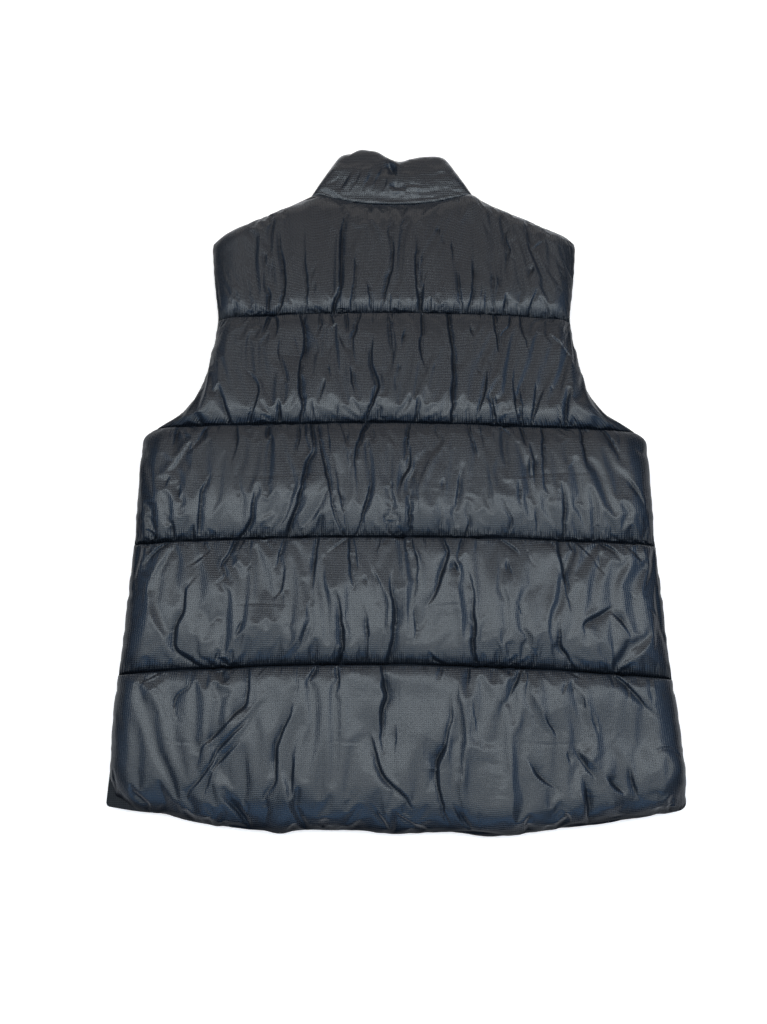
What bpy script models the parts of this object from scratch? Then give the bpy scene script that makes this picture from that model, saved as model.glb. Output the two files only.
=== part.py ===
"""Puffer vest, zipped up and laid flat face down. Seen from above, +X is to the right and +Y towards the
collar; +Z is up. The origin is on the surface, under the middle of the vest. Lengths are in metres.

The five padded back panels lie on the two padded fronts. Each panel is a wall with a plain inner face
and a swollen outer face, which the seams pinch and gather. The fronts' outer faces rest on the surface
and are flat there, and roll up round the edges to the side seams.
"""

import math

import bmesh
import bpy
import numpy as np

for old in list(bpy.data.objects):
    bpy.data.objects.remove(old)

# Layers, from the surface up
FRONT_TOP = 0.0150  # inner face of the fronts
SEAM_GAP = 0.0003  # between pieces that are sewn to each other
BACK_INSIDE = FRONT_TOP + SEAM_GAP
SEAM_WALL = 0.0030  # pinched wall at a cross seam
EDGE_WALL = 0.0015  # pinched wall at a side seam, shoulder or hem

# Half the width of the flat vest, up the side seam and the armhole
SIDE = (
    # y, half width
    (-0.390, 0.3062), (-0.342, 0.3066), (-0.243, 0.3003), (-0.149, 0.2945), (-0.045, 0.2914),
    (0.009, 0.2908), (0.027, 0.2885), (0.040, 0.2720), (0.054, 0.2518), (0.082, 0.2281),
    (0.120, 0.2176), (0.172, 0.2100), (0.217, 0.2149), (0.257, 0.2190), (0.277, 0.2215),
)
# Width that the inner columns of a panel follow, from the hem to the shoulders
HEM_HALF, SHOULDER_HALF = 0.300, 0.215
SIDE_PULL = 3.0  # how late a column gives up that straight run for the true side

# Back neck and shoulder, from the middle out
BACK_TOP = (
    # x, y
    (0.000, 0.3315), (0.030, 0.3325), (0.055, 0.3355), (0.078, 0.3405), (0.090, 0.3440), (0.100, 0.3440),
    (0.108, 0.3400), (0.125, 0.3320), (0.140, 0.3250), (0.165, 0.3130), (0.189, 0.3005), (0.2075, 0.2895),
    (0.2215, 0.2765),
)
# The fronts' neck is cut lower, and then they share the back's shoulders
FRONT_NECK = (
    # x, y
    (0.000, 0.2835), (0.030, 0.2850), (0.050, 0.2910), (0.068, 0.3030), (0.081, 0.3190), (0.090, 0.3390),
)
SHOULDER_BLEND = 0.008  # how fast the front's neck meets the shoulder
NECK_HALF = 0.096
SHOULDER_TIP_Y = BACK_TOP[-1][1]

# Cross seams: height at the middle, rise towards the sides, and how late the curve rises
HEM = (-0.4068, 0.0245, 2.5)
CROSS_SEAMS = (
    # y, rise, power
    (-0.2297, -0.0143, 2.0),
    (-0.0865, -0.0105, 2.2),
    (0.0497, -0.0095, 1.6),
    (0.1896, -0.0115, 2.2),
)

# Back panels from the hem up: how far the wall swells, and how far in from each edge it takes to do so
PANELS = (
    # name, swell, lower roll, upper roll
    ("back_hem_baffle", 0.0260, 0.032, 0.062),
    ("back_baffle_4", 0.0235, 0.060, 0.060),
    ("back_baffle_3", 0.0235, 0.060, 0.060),
    ("back_baffle_2", 0.0215, 0.060, 0.056),
    ("back_yoke", 0.0175, 0.056, 0.024),
)
SIDE_ROLL = 0.028
NECK_ROLL = 0.040
NECK_BLEND = 0.014  # how fast that roll takes over from the shoulder's

# Stations of a back panel: steps in from its edges, with even columns between
EDGE_STEPS = (0.0, 0.0012, 0.0040, 0.0090, 0.0160, 0.0260)
LOW_STEPS = (0.0, 0.0035, 0.0100, 0.0200, 0.0360)
HIGH_STEPS = (0.0380, 0.0180, 0.0060, 0.0)

# Stations of a front: steps in from its side, zip and ends, and steps up and down from each seam's end
FRONT_EDGE_STEPS = (0.0, 0.0015, 0.0050, 0.0110, 0.0190, 0.0280, 0.0440)
FRONT_ZIP_STEPS = (0.0, 0.0020, 0.0060)
FRONT_END_STEPS = (0.0, 0.0015, 0.0050, 0.0110, 0.0190)
FRONT_SEAM_STEPS = (-0.0130, -0.0050, 0.0, 0.0050, 0.0130)
SHOULDER_COLUMNS = (0.108, 0.122, 0.142)
FRONT_ROLL, FRONT_END_ROLL, FRONT_ZIP_ROLL = 0.028, 0.022, 0.012
QUILT_PINCH = 1.3  # extra roll of a front's side where a cross seam runs out
QUILT_PINCH_HALF = 0.006

# Gathers of a back panel, along the seam below it
GATHERS = 35
GATHER_DEPTH = 0.17  # share of the swell
GATHER_REACH = 0.020
GATHER_DRIFT = 0.34  # how far a gather strays from even spacing

# Large folds of the back, as straight troughs between two points. Depth is a share of the swell.
FOLDS = (
    # panel, low x, low y, high x, high y, depth, half width
    ("back_yoke", -0.136, 0.190, -0.137, 0.285, 0.34, 0.0065),
    ("back_yoke", -0.108, 0.188, -0.111, 0.292, 0.26, 0.0060),
    ("back_yoke", -0.069, 0.192, -0.060, 0.300, 0.36, 0.0070),
    ("back_yoke", -0.011, 0.194, -0.001, 0.282, 0.32, 0.0060),
    ("back_yoke", 0.030, 0.192, 0.027, 0.275, 0.26, 0.0060),
    ("back_yoke", 0.092, 0.192, 0.095, 0.255, 0.36, 0.0070),
    ("back_yoke", 0.134, 0.225, 0.138, 0.290, 0.34, 0.0060),
    ("back_yoke", 0.165, 0.192, 0.172, 0.245, 0.22, 0.0070),
    ("back_baffle_2", -0.108, 0.052, -0.104, 0.178, 0.44, 0.0085),
    ("back_baffle_2", -0.030, 0.054, -0.023, 0.165, 0.32, 0.0065),
    ("back_baffle_2", 0.067, 0.054, 0.068, 0.178, 0.46, 0.0085),
    ("back_baffle_2", 0.098, 0.054, 0.106, 0.120, 0.32, 0.0065),
    ("back_baffle_2", 0.150, 0.052, 0.160, 0.105, 0.26, 0.0070),
    ("back_baffle_2", -0.055, 0.090, -0.046, 0.170, 0.24, 0.0070),
    ("back_baffle_2", -0.160, 0.052, -0.150, 0.110, 0.22, 0.0070),
    ("back_baffle_3", -0.120, -0.086, -0.093, 0.040, 0.46, 0.0085),
    ("back_baffle_3", -0.173, -0.086, -0.158, -0.030, 0.34, 0.0070),
    ("back_baffle_3", -0.062, -0.080, -0.088, 0.040, 0.32, 0.0070),
    ("back_baffle_3", -0.042, -0.084, -0.036, 0.036, 0.34, 0.0070),
    ("back_baffle_3", 0.007, -0.058, 0.018, 0.026, 0.34, 0.0070),
    ("back_baffle_3", 0.091, -0.014, 0.087, 0.038, 0.30, 0.0065),
    ("back_baffle_3", 0.158, -0.043, 0.146, 0.040, 0.34, 0.0070),
    ("back_baffle_3", 0.188, -0.086, 0.189, -0.026, 0.32, 0.0070),
    ("back_baffle_3", 0.219, -0.015, 0.213, 0.038, 0.30, 0.0070),
    ("back_baffle_4", -0.228, -0.224, -0.222, -0.130, 0.30, 0.0090),
    ("back_baffle_4", -0.196, -0.142, -0.181, -0.098, 0.40, 0.0075),
    ("back_baffle_4", -0.133, -0.160, -0.123, -0.095, 0.34, 0.0070),
    ("back_baffle_4", -0.090, -0.148, -0.085, -0.095, 0.42, 0.0080),
    ("back_baffle_4", -0.058, -0.222, -0.063, -0.151, 0.40, 0.0080),
    ("back_baffle_4", -0.031, -0.222, -0.047, -0.096, 0.36, 0.0075),
    ("back_baffle_4", -0.004, -0.222, -0.006, -0.129, 0.44, 0.0085),
    ("back_baffle_4", 0.022, -0.214, 0.020, -0.095, 0.34, 0.0070),
    ("back_baffle_4", 0.036, -0.168, 0.058, -0.096, 0.46, 0.0080),
    ("back_baffle_4", 0.086, -0.222, 0.074, -0.098, 0.44, 0.0080),
    ("back_baffle_4", 0.187, -0.224, 0.184, -0.104, 0.46, 0.0085),
    ("back_baffle_4", 0.238, -0.138, 0.208, -0.101, 0.32, 0.0070),
    ("back_hem_baffle", -0.218, -0.372, -0.154, -0.285, 0.46, 0.0095),
    ("back_hem_baffle", -0.136, -0.372, -0.110, -0.270, 0.46, 0.0095),
    ("back_hem_baffle", -0.195, -0.312, -0.160, -0.240, 0.30, 0.0080),
    ("back_hem_baffle", -0.012, -0.325, -0.012, -0.238, 0.44, 0.0095),
    ("back_hem_baffle", 0.020, -0.385, -0.028, -0.305, 0.46, 0.0095),
    ("back_hem_baffle", 0.050, -0.392, 0.060, -0.265, 0.48, 0.0110),
    ("back_hem_baffle", 0.125, -0.274, 0.134, -0.242, 0.30, 0.0065),
    ("back_hem_baffle", 0.200, -0.392, 0.198, -0.352, 0.40, 0.0100),
    ("back_hem_baffle", 0.212, -0.355, 0.158, -0.284, 0.40, 0.0095),
    ("back_hem_baffle", 0.290, -0.288, 0.240, -0.247, 0.34, 0.0070),
)
FOLD_END = 0.014  # length over which a fold fades out at each end
MOST_FOLD = 0.55

# The back's lower left corner is tucked in over the front's
TUCK_X, TUCK_Y = -0.306, -0.384
TUCK_REACH = 0.026
TUCK_IN = 0.010

# Stand collar: its back half lies on its front halves, folded at both sides of the neck
COLLAR_BASE_HALF, COLLAR_TOP_HALF = 0.0985, 0.0640
COLLAR_FOLD = 0.0150  # length of the rounded fold, from where the layers part to its nose
COLLAR_SLIT = 0.0010  # radius of the slit's end
COLLAR_INSIDE_TOP = 0.0095  # height where the layers meet, at the upper edge
COLLAR_SWELL = 0.0105
COLLAR_BASE_ROLL, COLLAR_TOP_ROLL = 0.022, 0.014
COLLAR_UNDER_BASE_ROLL, COLLAR_UNDER_TOP_ROLL = 0.012, 0.010
COLLAR_HEIGHT_FRONT = 0.055
COLLAR_TOP = (
    # share of the half width, y
    (-1.00, 0.3990), (-0.85, 0.4045), (-0.55, 0.4070), (-0.40, 0.4060), (-0.17, 0.3985), (0.12, 0.3925),
    (0.40, 0.3955), (0.70, 0.3985), (1.00, 0.3995),
)
COLLAR_ROWS = (0.0, 0.07, 0.20, 0.38, 0.58, 0.77, 0.92, 1.0)
COLLAR_BACK_COLUMNS, COLLAR_FRONT_COLUMNS, COLLAR_FOLD_COLUMNS = 12, 7, 8
COLLAR_FOLDS = (
    # low x, low y, high x, high y, depth, half width
    (0.012, 0.366, -0.004, 0.396, 0.42, 0.0065),
    (-0.084, 0.345, -0.074, 0.360, 0.30, 0.0060),
    (0.084, 0.348, 0.070, 0.362, 0.30, 0.0060),
    (0.030, 0.352, 0.030, 0.366, 0.26, 0.0180),
)

# Zip, in the valley between the fronts
ZIP_HALF = 0.0125
ZIP_MEET = 0.00015  # half the gap between the two tapes
TAPE_WALL = 0.0012
TAPE_TOP = FRONT_TOP - 0.0002
ZIP_BELOW_TOP = 0.004  # the zip stops short of the collar's upper edge
ZIP_ABOVE_HEM = 0.002
ZIP_TOP_Y = COLLAR_HEIGHT_FRONT + FRONT_NECK[0][1] - ZIP_BELOW_TOP
SLIDER_WIDE, SLIDER_LONG, SLIDER_DEEP = 0.0096, 0.0130, 0.0030
SLIDER_Y = ZIP_TOP_Y - 0.010
SLIDER_BEVEL = 0.0003
EAR_THICK, EAR_LONG, EAR_DEEP = 0.0012, 0.0040, 0.0033
EAR_ROOT = 0.0005  # how far an ear goes into the plate
PULL_WIDE, PULL_LONG, PULL_THICK = 0.0056, 0.0240, 0.0016
PULL_PIVOT_RADIUS = 0.0013
PULL_PIVOT_DROP = 0.0017  # below the slider's plate
PULL_TIP_Z = 0.0012  # the tip hangs down to just above the surface
PULL_END_STEPS = 8
BOX_WIDE, BOX_LONG, BOX_DEEP = 0.0080, 0.0110, 0.0030
BOX_BEVEL = 0.0006

NAVY = (0.020, 0.024, 0.031, 1.0)
TAPE_NAVY = (0.012, 0.014, 0.020, 1.0)
GUNMETAL = (0.09, 0.09, 0.10, 1.0)


def smooth(table, at):
    """The value at a place on the smooth curve through a table's rows."""
    places, values = zip(*table)
    slopes = np.gradient(values, places)
    k = int(np.clip(np.searchsorted(places, at) - 1, 0, len(places) - 2))
    span = places[k + 1] - places[k]
    t = min(max((at - places[k]) / span, 0.0), 1.0)
    rise = t * t * (3 - 2 * t)
    lead = t * (1 - t) ** 2 * slopes[k]
    trail = t * t * (t - 1) * slopes[k + 1]
    return float(values[k] + rise * (values[k + 1] - values[k]) + span * (lead + trail))


def mix(low, high, share):
    return low + (high - low) * share


def ease(share):
    share = min(max(share, 0.0), 1.0)
    return share * share * (3 - 2 * share)


def swell(distance, roll):
    """Quarter ellipse from 0 at an edge to 1 where its roll ends."""
    return math.sqrt(max(0.0, 1 - (1 - min(max(distance, 0.0) / roll, 1.0)) ** 2))


def half_width(y):
    return smooth(SIDE, y)


def column_x(s, edge_y):
    """The x of a column at share s of the half width, in the row that meets the side at edge_y."""
    straight = mix(HEM_HALF, SHOULDER_HALF, (edge_y - HEM[0]) / (SHOULDER_TIP_Y - HEM[0]))
    return s * (straight + (half_width(edge_y) - straight) * abs(s) ** SIDE_PULL)


def seam_y(seam, s):
    middle, rise, power = seam
    return middle + rise * abs(s) ** power


def back_top_y(x):
    return smooth(BACK_TOP, abs(x))


def trough(folds, x, y):
    """How deep the folds are at a point, as a share of the swell."""
    total = 0.0
    for low_x, low_y, high_x, high_y, depth, wide in folds:
        along = (y - low_y) / (high_y - low_y)
        beyond = max(low_y - y, y - high_y, 0.0)
        middle = mix(low_x, high_x, min(max(along, 0.0), 1.0))
        total += depth * math.exp(-(((x - middle) / wide) ** 2)) * ease(1 - beyond / FOLD_END)
    return min(total, MOST_FOLD)


def tuck(x, y):
    """Moves a point near the back's lower left corner in, towards the middle of the panel."""
    pull = TUCK_IN * math.exp(-(math.hypot(x - TUCK_X, y - TUCK_Y) / TUCK_REACH) ** 2)
    return x + pull, y + pull


def stations(low_steps, high_steps, length, between):
    """Shares from 0 to 1: steps in from both ends, and even ones between."""
    low = [step / length for step in low_steps]
    high = [1 - step / length for step in high_steps]
    middle = [mix(low[-1], high[0], (k + 1) / (between + 1)) for k in range(between)]
    return low + middle + high


def finish(name, mesh_points, faces, colour, metallic=0.0, roughness=0.45, angle=50.0):
    """One closed, outward-facing, smooth-shaded object with its own material."""
    mesh = bpy.data.meshes.new(name)
    mesh.from_pydata(mesh_points, [], faces)
    shape = bmesh.new()
    shape.from_mesh(mesh)
    bmesh.ops.recalc_face_normals(shape, faces=shape.faces)
    shape.to_mesh(mesh)
    shape.free()
    mesh.shade_smooth()
    mesh.set_sharp_from_angle(angle=math.radians(angle))
    material = bpy.data.materials.new(name)
    material.use_nodes = True
    shader = material.node_tree.nodes["Principled BSDF"]
    shader.inputs["Base Color"].default_value = colour
    shader.inputs["Metallic"].default_value = metallic
    shader.inputs["Roughness"].default_value = roughness
    mesh.materials.append(material)
    piece = bpy.data.objects.new(name, mesh)
    bpy.context.scene.collection.objects.link(piece)
    return piece


def wall(name, rows, inner_z, colour):
    """A panel: a grid of outer points in rows, side walls to a flat inner face at inner_z."""
    columns = len(rows[0])
    points = [point for row in rows for point in row]
    faces = []
    for i in range(len(rows) - 1):
        for j in range(columns - 1):
            a = i * columns + j
            faces.append((a, a + 1, a + columns + 1, a + columns))
    top_row = (len(rows) - 1) * columns
    loop = list(range(columns - 1))
    loop += [i * columns + columns - 1 for i in range(len(rows) - 1)]
    loop += [top_row + j for j in range(columns - 1, 0, -1)]
    loop += [i * columns for i in range(len(rows) - 1, 0, -1)]
    first = len(points)
    points += [(points[k][0], points[k][1], inner_z) for k in loop]
    count = len(loop)
    for k in range(count):
        after = (k + 1) % count
        faces.append((first + k, first + after, loop[after], loop[k]))
    faces.append(tuple(range(first + count - 1, first - 1, -1)))
    return finish(name, points, faces, colour)


# --- Back panels -------------------------------------------------------------------------------------


def back_panel(number):
    """The padded back panel between two cross seams, gathered on to the seam below it."""
    name, crown, low_roll, high_roll = PANELS[number]
    lowest, highest = number == 0, number == len(PANELS) - 1
    low_seam = HEM if lowest else CROSS_SEAMS[number - 1]
    low_edge_y = seam_y(low_seam, 1)
    high_edge_y = SHOULDER_TIP_Y if highest else seam_y(CROSS_SEAMS[number], 1)
    folds = [fold[1:] for fold in FOLDS if fold[0] == name]

    def low_y(s):
        return seam_y(low_seam, s) + (0 if lowest else SEAM_GAP / 2)

    def high_y(s):
        if highest:
            return back_top_y(column_x(s, high_edge_y)) - SEAM_GAP / 2
        return seam_y(CROSS_SEAMS[number], s) - SEAM_GAP / 2

    half = half_width((low_edge_y + high_edge_y) / 2)
    length = high_y(0) - low_y(0)
    columns = stations(EDGE_STEPS, EDGE_STEPS[::-1], 2 * half, 2 * GATHERS - 1)
    first_gather = len(EDGE_STEPS) - 1
    last_gather = first_gather + 2 * GATHERS
    spacing = columns[first_gather + 1] - columns[first_gather]
    rows = []
    for v in stations(LOW_STEPS, HIGH_STEPS, length, 1):
        row = []
        for j, share in enumerate(columns):
            inner = first_gather < j < last_gather
            drift = GATHER_DRIFT * spacing * math.sin(2.4 * j + 1.9 * number) if inner else 0.0
            s = 2 * (share + drift) - 1
            tall = high_y(s) - low_y(s)
            x = column_x(s, mix(low_edge_y, high_edge_y, v))
            y = mix(low_y(s), high_y(s), v)
            side = swell((1 - abs(s)) * half, SIDE_ROLL)
            at_neck = ease((NECK_HALF - abs(x)) / NECK_BLEND) if highest else 1.0
            rise = side * swell(v * tall, low_roll)
            rise *= swell((1 - v) * tall, mix(high_roll, NECK_ROLL if highest else high_roll, at_neck))
            low_wall = EDGE_WALL if lowest else SEAM_WALL
            edge = mix(EDGE_WALL, mix(low_wall, mix(EDGE_WALL, SEAM_WALL, at_neck), v), side)
            fold = trough(folds, x, y)
            if inner and not lowest:
                swing = GATHER_DEPTH * (0.68 + 0.32 * math.sin(1.7 * j + 2.3 * number))
                fade = math.exp(-v * tall / GATHER_REACH)
                fold += swing * fade * (1 if j % 2 else -1)
            z = BACK_INSIDE + edge + (crown - edge) * rise * (1 - min(fold, MOST_FOLD))
            if lowest:
                x, y = tuck(x, y)
            row.append((x, y, z))
        rows.append(row)
    return wall(name, rows, BACK_INSIDE, NAVY)


# --- Fronts ------------------------------------------------------------------------------------------


def neck_columns():
    """Where the collar's front stations meet the neck, from the zip out to its fold."""
    reach = COLLAR_BASE_HALF - COLLAR_FOLD
    shares = [(k + 1) / COLLAR_FRONT_COLUMNS for k in range(COLLAR_FRONT_COLUMNS)]
    steps = [mix(ZIP_HALF + SEAM_GAP, reach, share) for share in shares]
    turns = [math.pi * (k + 0.5) / COLLAR_FOLD_COLUMNS for k in range(COLLAR_FOLD_COLUMNS // 2)]
    return steps + [reach + math.sin(angle) * COLLAR_FOLD for angle in turns]


def front_top_y(x):
    reach = abs(x)
    neck_end, neck_y = FRONT_NECK[-1]
    if reach < neck_end:
        return smooth(FRONT_NECK, reach)
    return mix(neck_y, back_top_y(reach), ease((reach - neck_end) / SHOULDER_BLEND))


def front(name, side):
    """A padded front, from the zip to the side seam. Its outer face is flat on the surface."""
    low_edge_y = seam_y(HEM, 1)
    tall_side = SHOULDER_TIP_Y - low_edge_y
    seams = [(seam_y(seam, 1) - low_edge_y) / tall_side for seam in CROSS_SEAMS]
    shares = {step / tall_side for step in FRONT_END_STEPS}
    shares |= {1 - step / tall_side for step in FRONT_END_STEPS}
    shares |= {seam + step / tall_side for seam in seams for step in FRONT_SEAM_STEPS}
    shares |= {mix(low, high, 0.5) for low, high in zip([0.0] + seams, seams + [1.0])}
    wide = SHOULDER_HALF - ZIP_HALF
    columns = [step / wide for step in FRONT_ZIP_STEPS]
    columns += [(x - ZIP_HALF) / wide for x in (*neck_columns(), *SHOULDER_COLUMNS)]
    columns += [1 - step / wide for step in FRONT_EDGE_STEPS[::-1]]
    rows = []
    for v in sorted(shares):
        edge_y = mix(low_edge_y, SHOULDER_TIP_Y, v)
        pinch = max(math.exp(-(((v - seam) * tall_side / QUILT_PINCH_HALF) ** 2)) for seam in seams)
        row = []
        for share in columns:
            s = mix(ZIP_HALF / SHOULDER_HALF, 1.0, share)
            along = column_x(s, edge_y)
            zip_end = column_x(ZIP_HALF / SHOULDER_HALF, edge_y)
            x = along + (ZIP_HALF + SEAM_GAP - zip_end) * (1 - share)
            low = seam_y(HEM, x / half_width(low_edge_y))
            high = front_top_y(column_x(s, SHOULDER_TIP_Y)) - SEAM_GAP / 2
            y = mix(low, high, v)
            flat = swell((1 - share) * wide, FRONT_ROLL * (1 + QUILT_PINCH * pinch))
            flat *= swell(share * wide, FRONT_ZIP_ROLL)
            flat *= swell(y - low, FRONT_END_ROLL) * swell(high - y, FRONT_END_ROLL)
            row.append((side * x, y, (FRONT_TOP - EDGE_WALL) * (1 - flat)))
        rows.append(row)
    return wall(name, rows, FRONT_TOP, NAVY)


# --- Collar ------------------------------------------------------------------------------------------


def collar_path():
    """Stations round the band: the side, the share of the layer out to that fold, the angle round it."""
    turn = [math.pi * (k + 0.5) / COLLAR_FOLD_COLUMNS for k in range(COLLAR_FOLD_COLUMNS)]
    half = [(k / COLLAR_FRONT_COLUMNS, 0.0) for k in range(COLLAR_FRONT_COLUMNS + 1)]
    half += [(1.0, angle) for angle in turn]
    half += [(1 - k / COLLAR_BACK_COLUMNS, math.pi) for k in range(COLLAR_BACK_COLUMNS)]
    left = [(-1, share, angle) for share, angle in half]
    right = [(1, share, angle) for share, angle in half]
    return left + [(1, 0.0, math.pi)] + right[::-1]


def collar_point(station, v, outer):
    """A point of the band's outer or inner face, at share v of its height."""
    side, share, angle = station
    reach = mix(COLLAR_BASE_HALF, COLLAR_TOP_HALF, v) - COLLAR_FOLD
    if angle == 0:
        share = mix((ZIP_HALF + SEAM_GAP) / reach, 1.0, share)
    nose = math.sin(angle) * (COLLAR_FOLD if outer else COLLAR_SLIT)
    x = side * (share * reach + nose)
    base_x = share * (COLLAR_BASE_HALF - COLLAR_FOLD) + math.sin(angle) * COLLAR_FOLD
    if angle > math.pi / 2:
        low = back_top_y(base_x) + SEAM_GAP / 2
        high = smooth(COLLAR_TOP, side * share)
    else:
        low = front_top_y(base_x) + SEAM_GAP / 2
        high = low + COLLAR_HEIGHT_FRONT
    y = mix(low, high, v)
    meet = mix(FRONT_TOP + SEAM_GAP / 2, COLLAR_INSIDE_TOP, ease(v))
    if not outer:
        return x, y, meet - math.cos(angle) * SEAM_GAP / 2
    tall = high - low
    rise = swell(v * tall, COLLAR_BASE_ROLL) * swell((1 - v) * tall, COLLAR_TOP_ROLL)
    edge = mix(SEAM_WALL, EDGE_WALL, v)
    above = edge + (COLLAR_SWELL - edge) * rise * (1 - trough(COLLAR_FOLDS, x, y))
    plump = swell(v * tall, COLLAR_UNDER_BASE_ROLL) * swell((1 - v) * tall, COLLAR_UNDER_TOP_ROLL)
    below = edge + (meet - edge) * plump
    return x, y, meet - math.cos(angle) * (above if angle > math.pi / 2 else below)


def collar():
    """The stand collar, one padded band from zip to zip, closed along its seam, upper edge and ends."""
    path = collar_path()
    around, rows = len(path), len(COLLAR_ROWS)
    points = [collar_point(station, v, True) for v in COLLAR_ROWS for station in path]
    points += [collar_point(station, v, False) for v in COLLAR_ROWS for station in path]
    shift = around * rows
    faces = []
    for i in range(rows - 1):
        for j in range(around - 1):
            a = i * around + j
            faces.append((a, a + 1, a + around + 1, a + around))
            b = a + shift
            faces.append((b + around, b + around + 1, b + 1, b))
        for end in (0, around - 1):
            a = i * around + end
            quad = (a, a + around, a + around + shift, a + shift)
            faces.append(quad if end == 0 else quad[::-1])
    for j in range(around - 1):
        for row in (0, rows - 1):
            a = row * around + j
            quad = (a + 1, a, a + shift, a + 1 + shift)
            faces.append(quad if row == 0 else quad[::-1])
    return finish("collar", points, faces, NAVY)


# --- Zip ---------------------------------------------------------------------------------------------


def block(name, low, high, colour, bevel, metallic=0.0):
    """A block between two corners, with a small bevel."""
    points = [(x, y, z) for z in (low[2], high[2]) for y in (low[1], high[1]) for x in (low[0], high[0])]
    faces = [(0, 2, 3, 1), (4, 5, 7, 6), (0, 1, 5, 4), (2, 6, 7, 3), (0, 4, 6, 2), (1, 3, 7, 5)]
    piece = finish(name, points, faces, colour, metallic, 0.35, 30.0)
    if bevel:
        rounding = piece.modifiers.new("bevel", "BEVEL")
        rounding.width = bevel
        rounding.segments = 2
    return piece


def tape(name, side):
    """A woven zip tape, sewn along a front's edge and the collar's end."""
    near, far = sorted((side * ZIP_MEET, side * ZIP_HALF))
    hem_y = seam_y(HEM, 0)
    low = (near, hem_y + ZIP_ABOVE_HEM, TAPE_TOP - TAPE_WALL)
    return block(name, low, (far, ZIP_TOP_Y, TAPE_TOP), TAPE_NAVY, 0.0)


def slider():
    """The slider's plate with two ears, which hold the pull tab's pivot between them."""
    top = TAPE_TOP - TAPE_WALL - SEAM_GAP
    bottom = top - SLIDER_DEEP
    half, long = SLIDER_WIDE / 2, SLIDER_LONG / 2
    plate = block(
        "zip_slider", (-half, SLIDER_Y - long, bottom), (half, SLIDER_Y + long, top), GUNMETAL, 0.0, 1.0
    )
    for side in (-1, 1):
        inner = PULL_WIDE / 2 + SEAM_GAP
        near, far = sorted((side * inner, side * (inner + EAR_THICK)))
        ear = block(
            "zip_ear", (near, SLIDER_Y - EAR_LONG / 2, bottom - EAR_DEEP),
            (far, SLIDER_Y + EAR_LONG / 2, bottom + EAR_ROOT), GUNMETAL, 0.0, 1.0,
        )
        ear.hide_render = True
        ear.display_type = "WIRE"
        join = plate.modifiers.new("ear", "BOOLEAN")
        join.operation = "UNION"
        join.object = ear
    rounding = plate.modifiers.new("bevel", "BEVEL")
    rounding.width = SLIDER_BEVEL
    rounding.segments = 1
    return bottom


def zip_stop():
    """The box at the foot of the zip."""
    top = TAPE_TOP - TAPE_WALL - SEAM_GAP
    low_y = seam_y(HEM, 0) + 2 * ZIP_ABOVE_HEM
    low = (-BOX_WIDE / 2, low_y, top - BOX_DEEP)
    return block("zip_stop", low, (BOX_WIDE / 2, low_y + BOX_LONG, top), GUNMETAL, BOX_BEVEL, 1.0)


def pull_tab(pivot_z):
    """The pull tab: a flat tongue with a round end on the pivot, its tip hanging to the surface."""
    outline = []
    for k in range(PULL_END_STEPS + 1):
        angle = math.pi * (k / PULL_END_STEPS - 0.5)
        outline.append((PULL_PIVOT_RADIUS * math.cos(angle), PULL_PIVOT_RADIUS * math.sin(angle)))
    half = PULL_THICK / 2
    outline += [(-PULL_LONG, half), (-PULL_LONG - half / 2, 0.0), (-PULL_LONG, -half)]
    points = [(side * PULL_WIDE / 2, y, z) for side in (-1, 1) for y, z in outline]
    count = len(outline)
    faces = [tuple(range(count)), tuple(range(2 * count - 1, count - 1, -1))]
    faces += [(k, (k + 1) % count, count + (k + 1) % count, count + k) for k in range(count)]
    piece = finish("zip_pull", points, faces, GUNMETAL, 1.0, 0.35, 30.0)
    piece.location = (0.0, SLIDER_Y, pivot_z)
    piece.rotation_euler = (math.asin((pivot_z - PULL_TIP_Z) / PULL_LONG), 0.0, 0.0)
    return piece


for number in range(len(PANELS)):
    back_panel(number)
front("front_left", -1)
front("front_right", 1)
collar()
tape("zip_tape_left", -1)
tape("zip_tape_right", 1)
pull_tab(slider() - PULL_PIVOT_DROP)
zip_stop()
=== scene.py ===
import math

import bpy
import numpy as np
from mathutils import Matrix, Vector


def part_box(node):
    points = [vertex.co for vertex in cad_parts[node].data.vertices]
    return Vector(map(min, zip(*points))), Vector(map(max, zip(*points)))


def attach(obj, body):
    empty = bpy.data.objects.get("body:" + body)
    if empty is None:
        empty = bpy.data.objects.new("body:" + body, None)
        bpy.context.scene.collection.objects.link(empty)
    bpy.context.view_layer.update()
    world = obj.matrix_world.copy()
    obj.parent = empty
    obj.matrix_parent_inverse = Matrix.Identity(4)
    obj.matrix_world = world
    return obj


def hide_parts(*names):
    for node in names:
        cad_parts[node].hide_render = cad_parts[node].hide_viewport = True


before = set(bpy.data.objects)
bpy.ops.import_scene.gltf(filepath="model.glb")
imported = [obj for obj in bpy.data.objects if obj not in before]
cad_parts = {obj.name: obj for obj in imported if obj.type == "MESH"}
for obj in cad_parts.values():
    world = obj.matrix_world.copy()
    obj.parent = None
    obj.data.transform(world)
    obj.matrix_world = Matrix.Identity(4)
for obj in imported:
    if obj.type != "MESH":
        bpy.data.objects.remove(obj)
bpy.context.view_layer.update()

# --- Camera and light ----------------------------------------------------------------------------------
# The vest lies face down on a white table and is seen from nearly overhead, a little from the hem side,
# under soft daylight from above, a warm bounce from the ceiling and a faint cool fill from the sides.

SEAT = np.array((-0.0126, -0.3203, 1.0619))
TILT = math.radians(14.0)
FOCAL = 950.0  # in pixels of a picture 767 wide and 1024 tall
PICTURE = (767, 1024)


def add_object(name, data):
    made = bpy.data.objects.new(name, data)
    bpy.context.scene.collection.objects.link(made)
    return made


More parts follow.
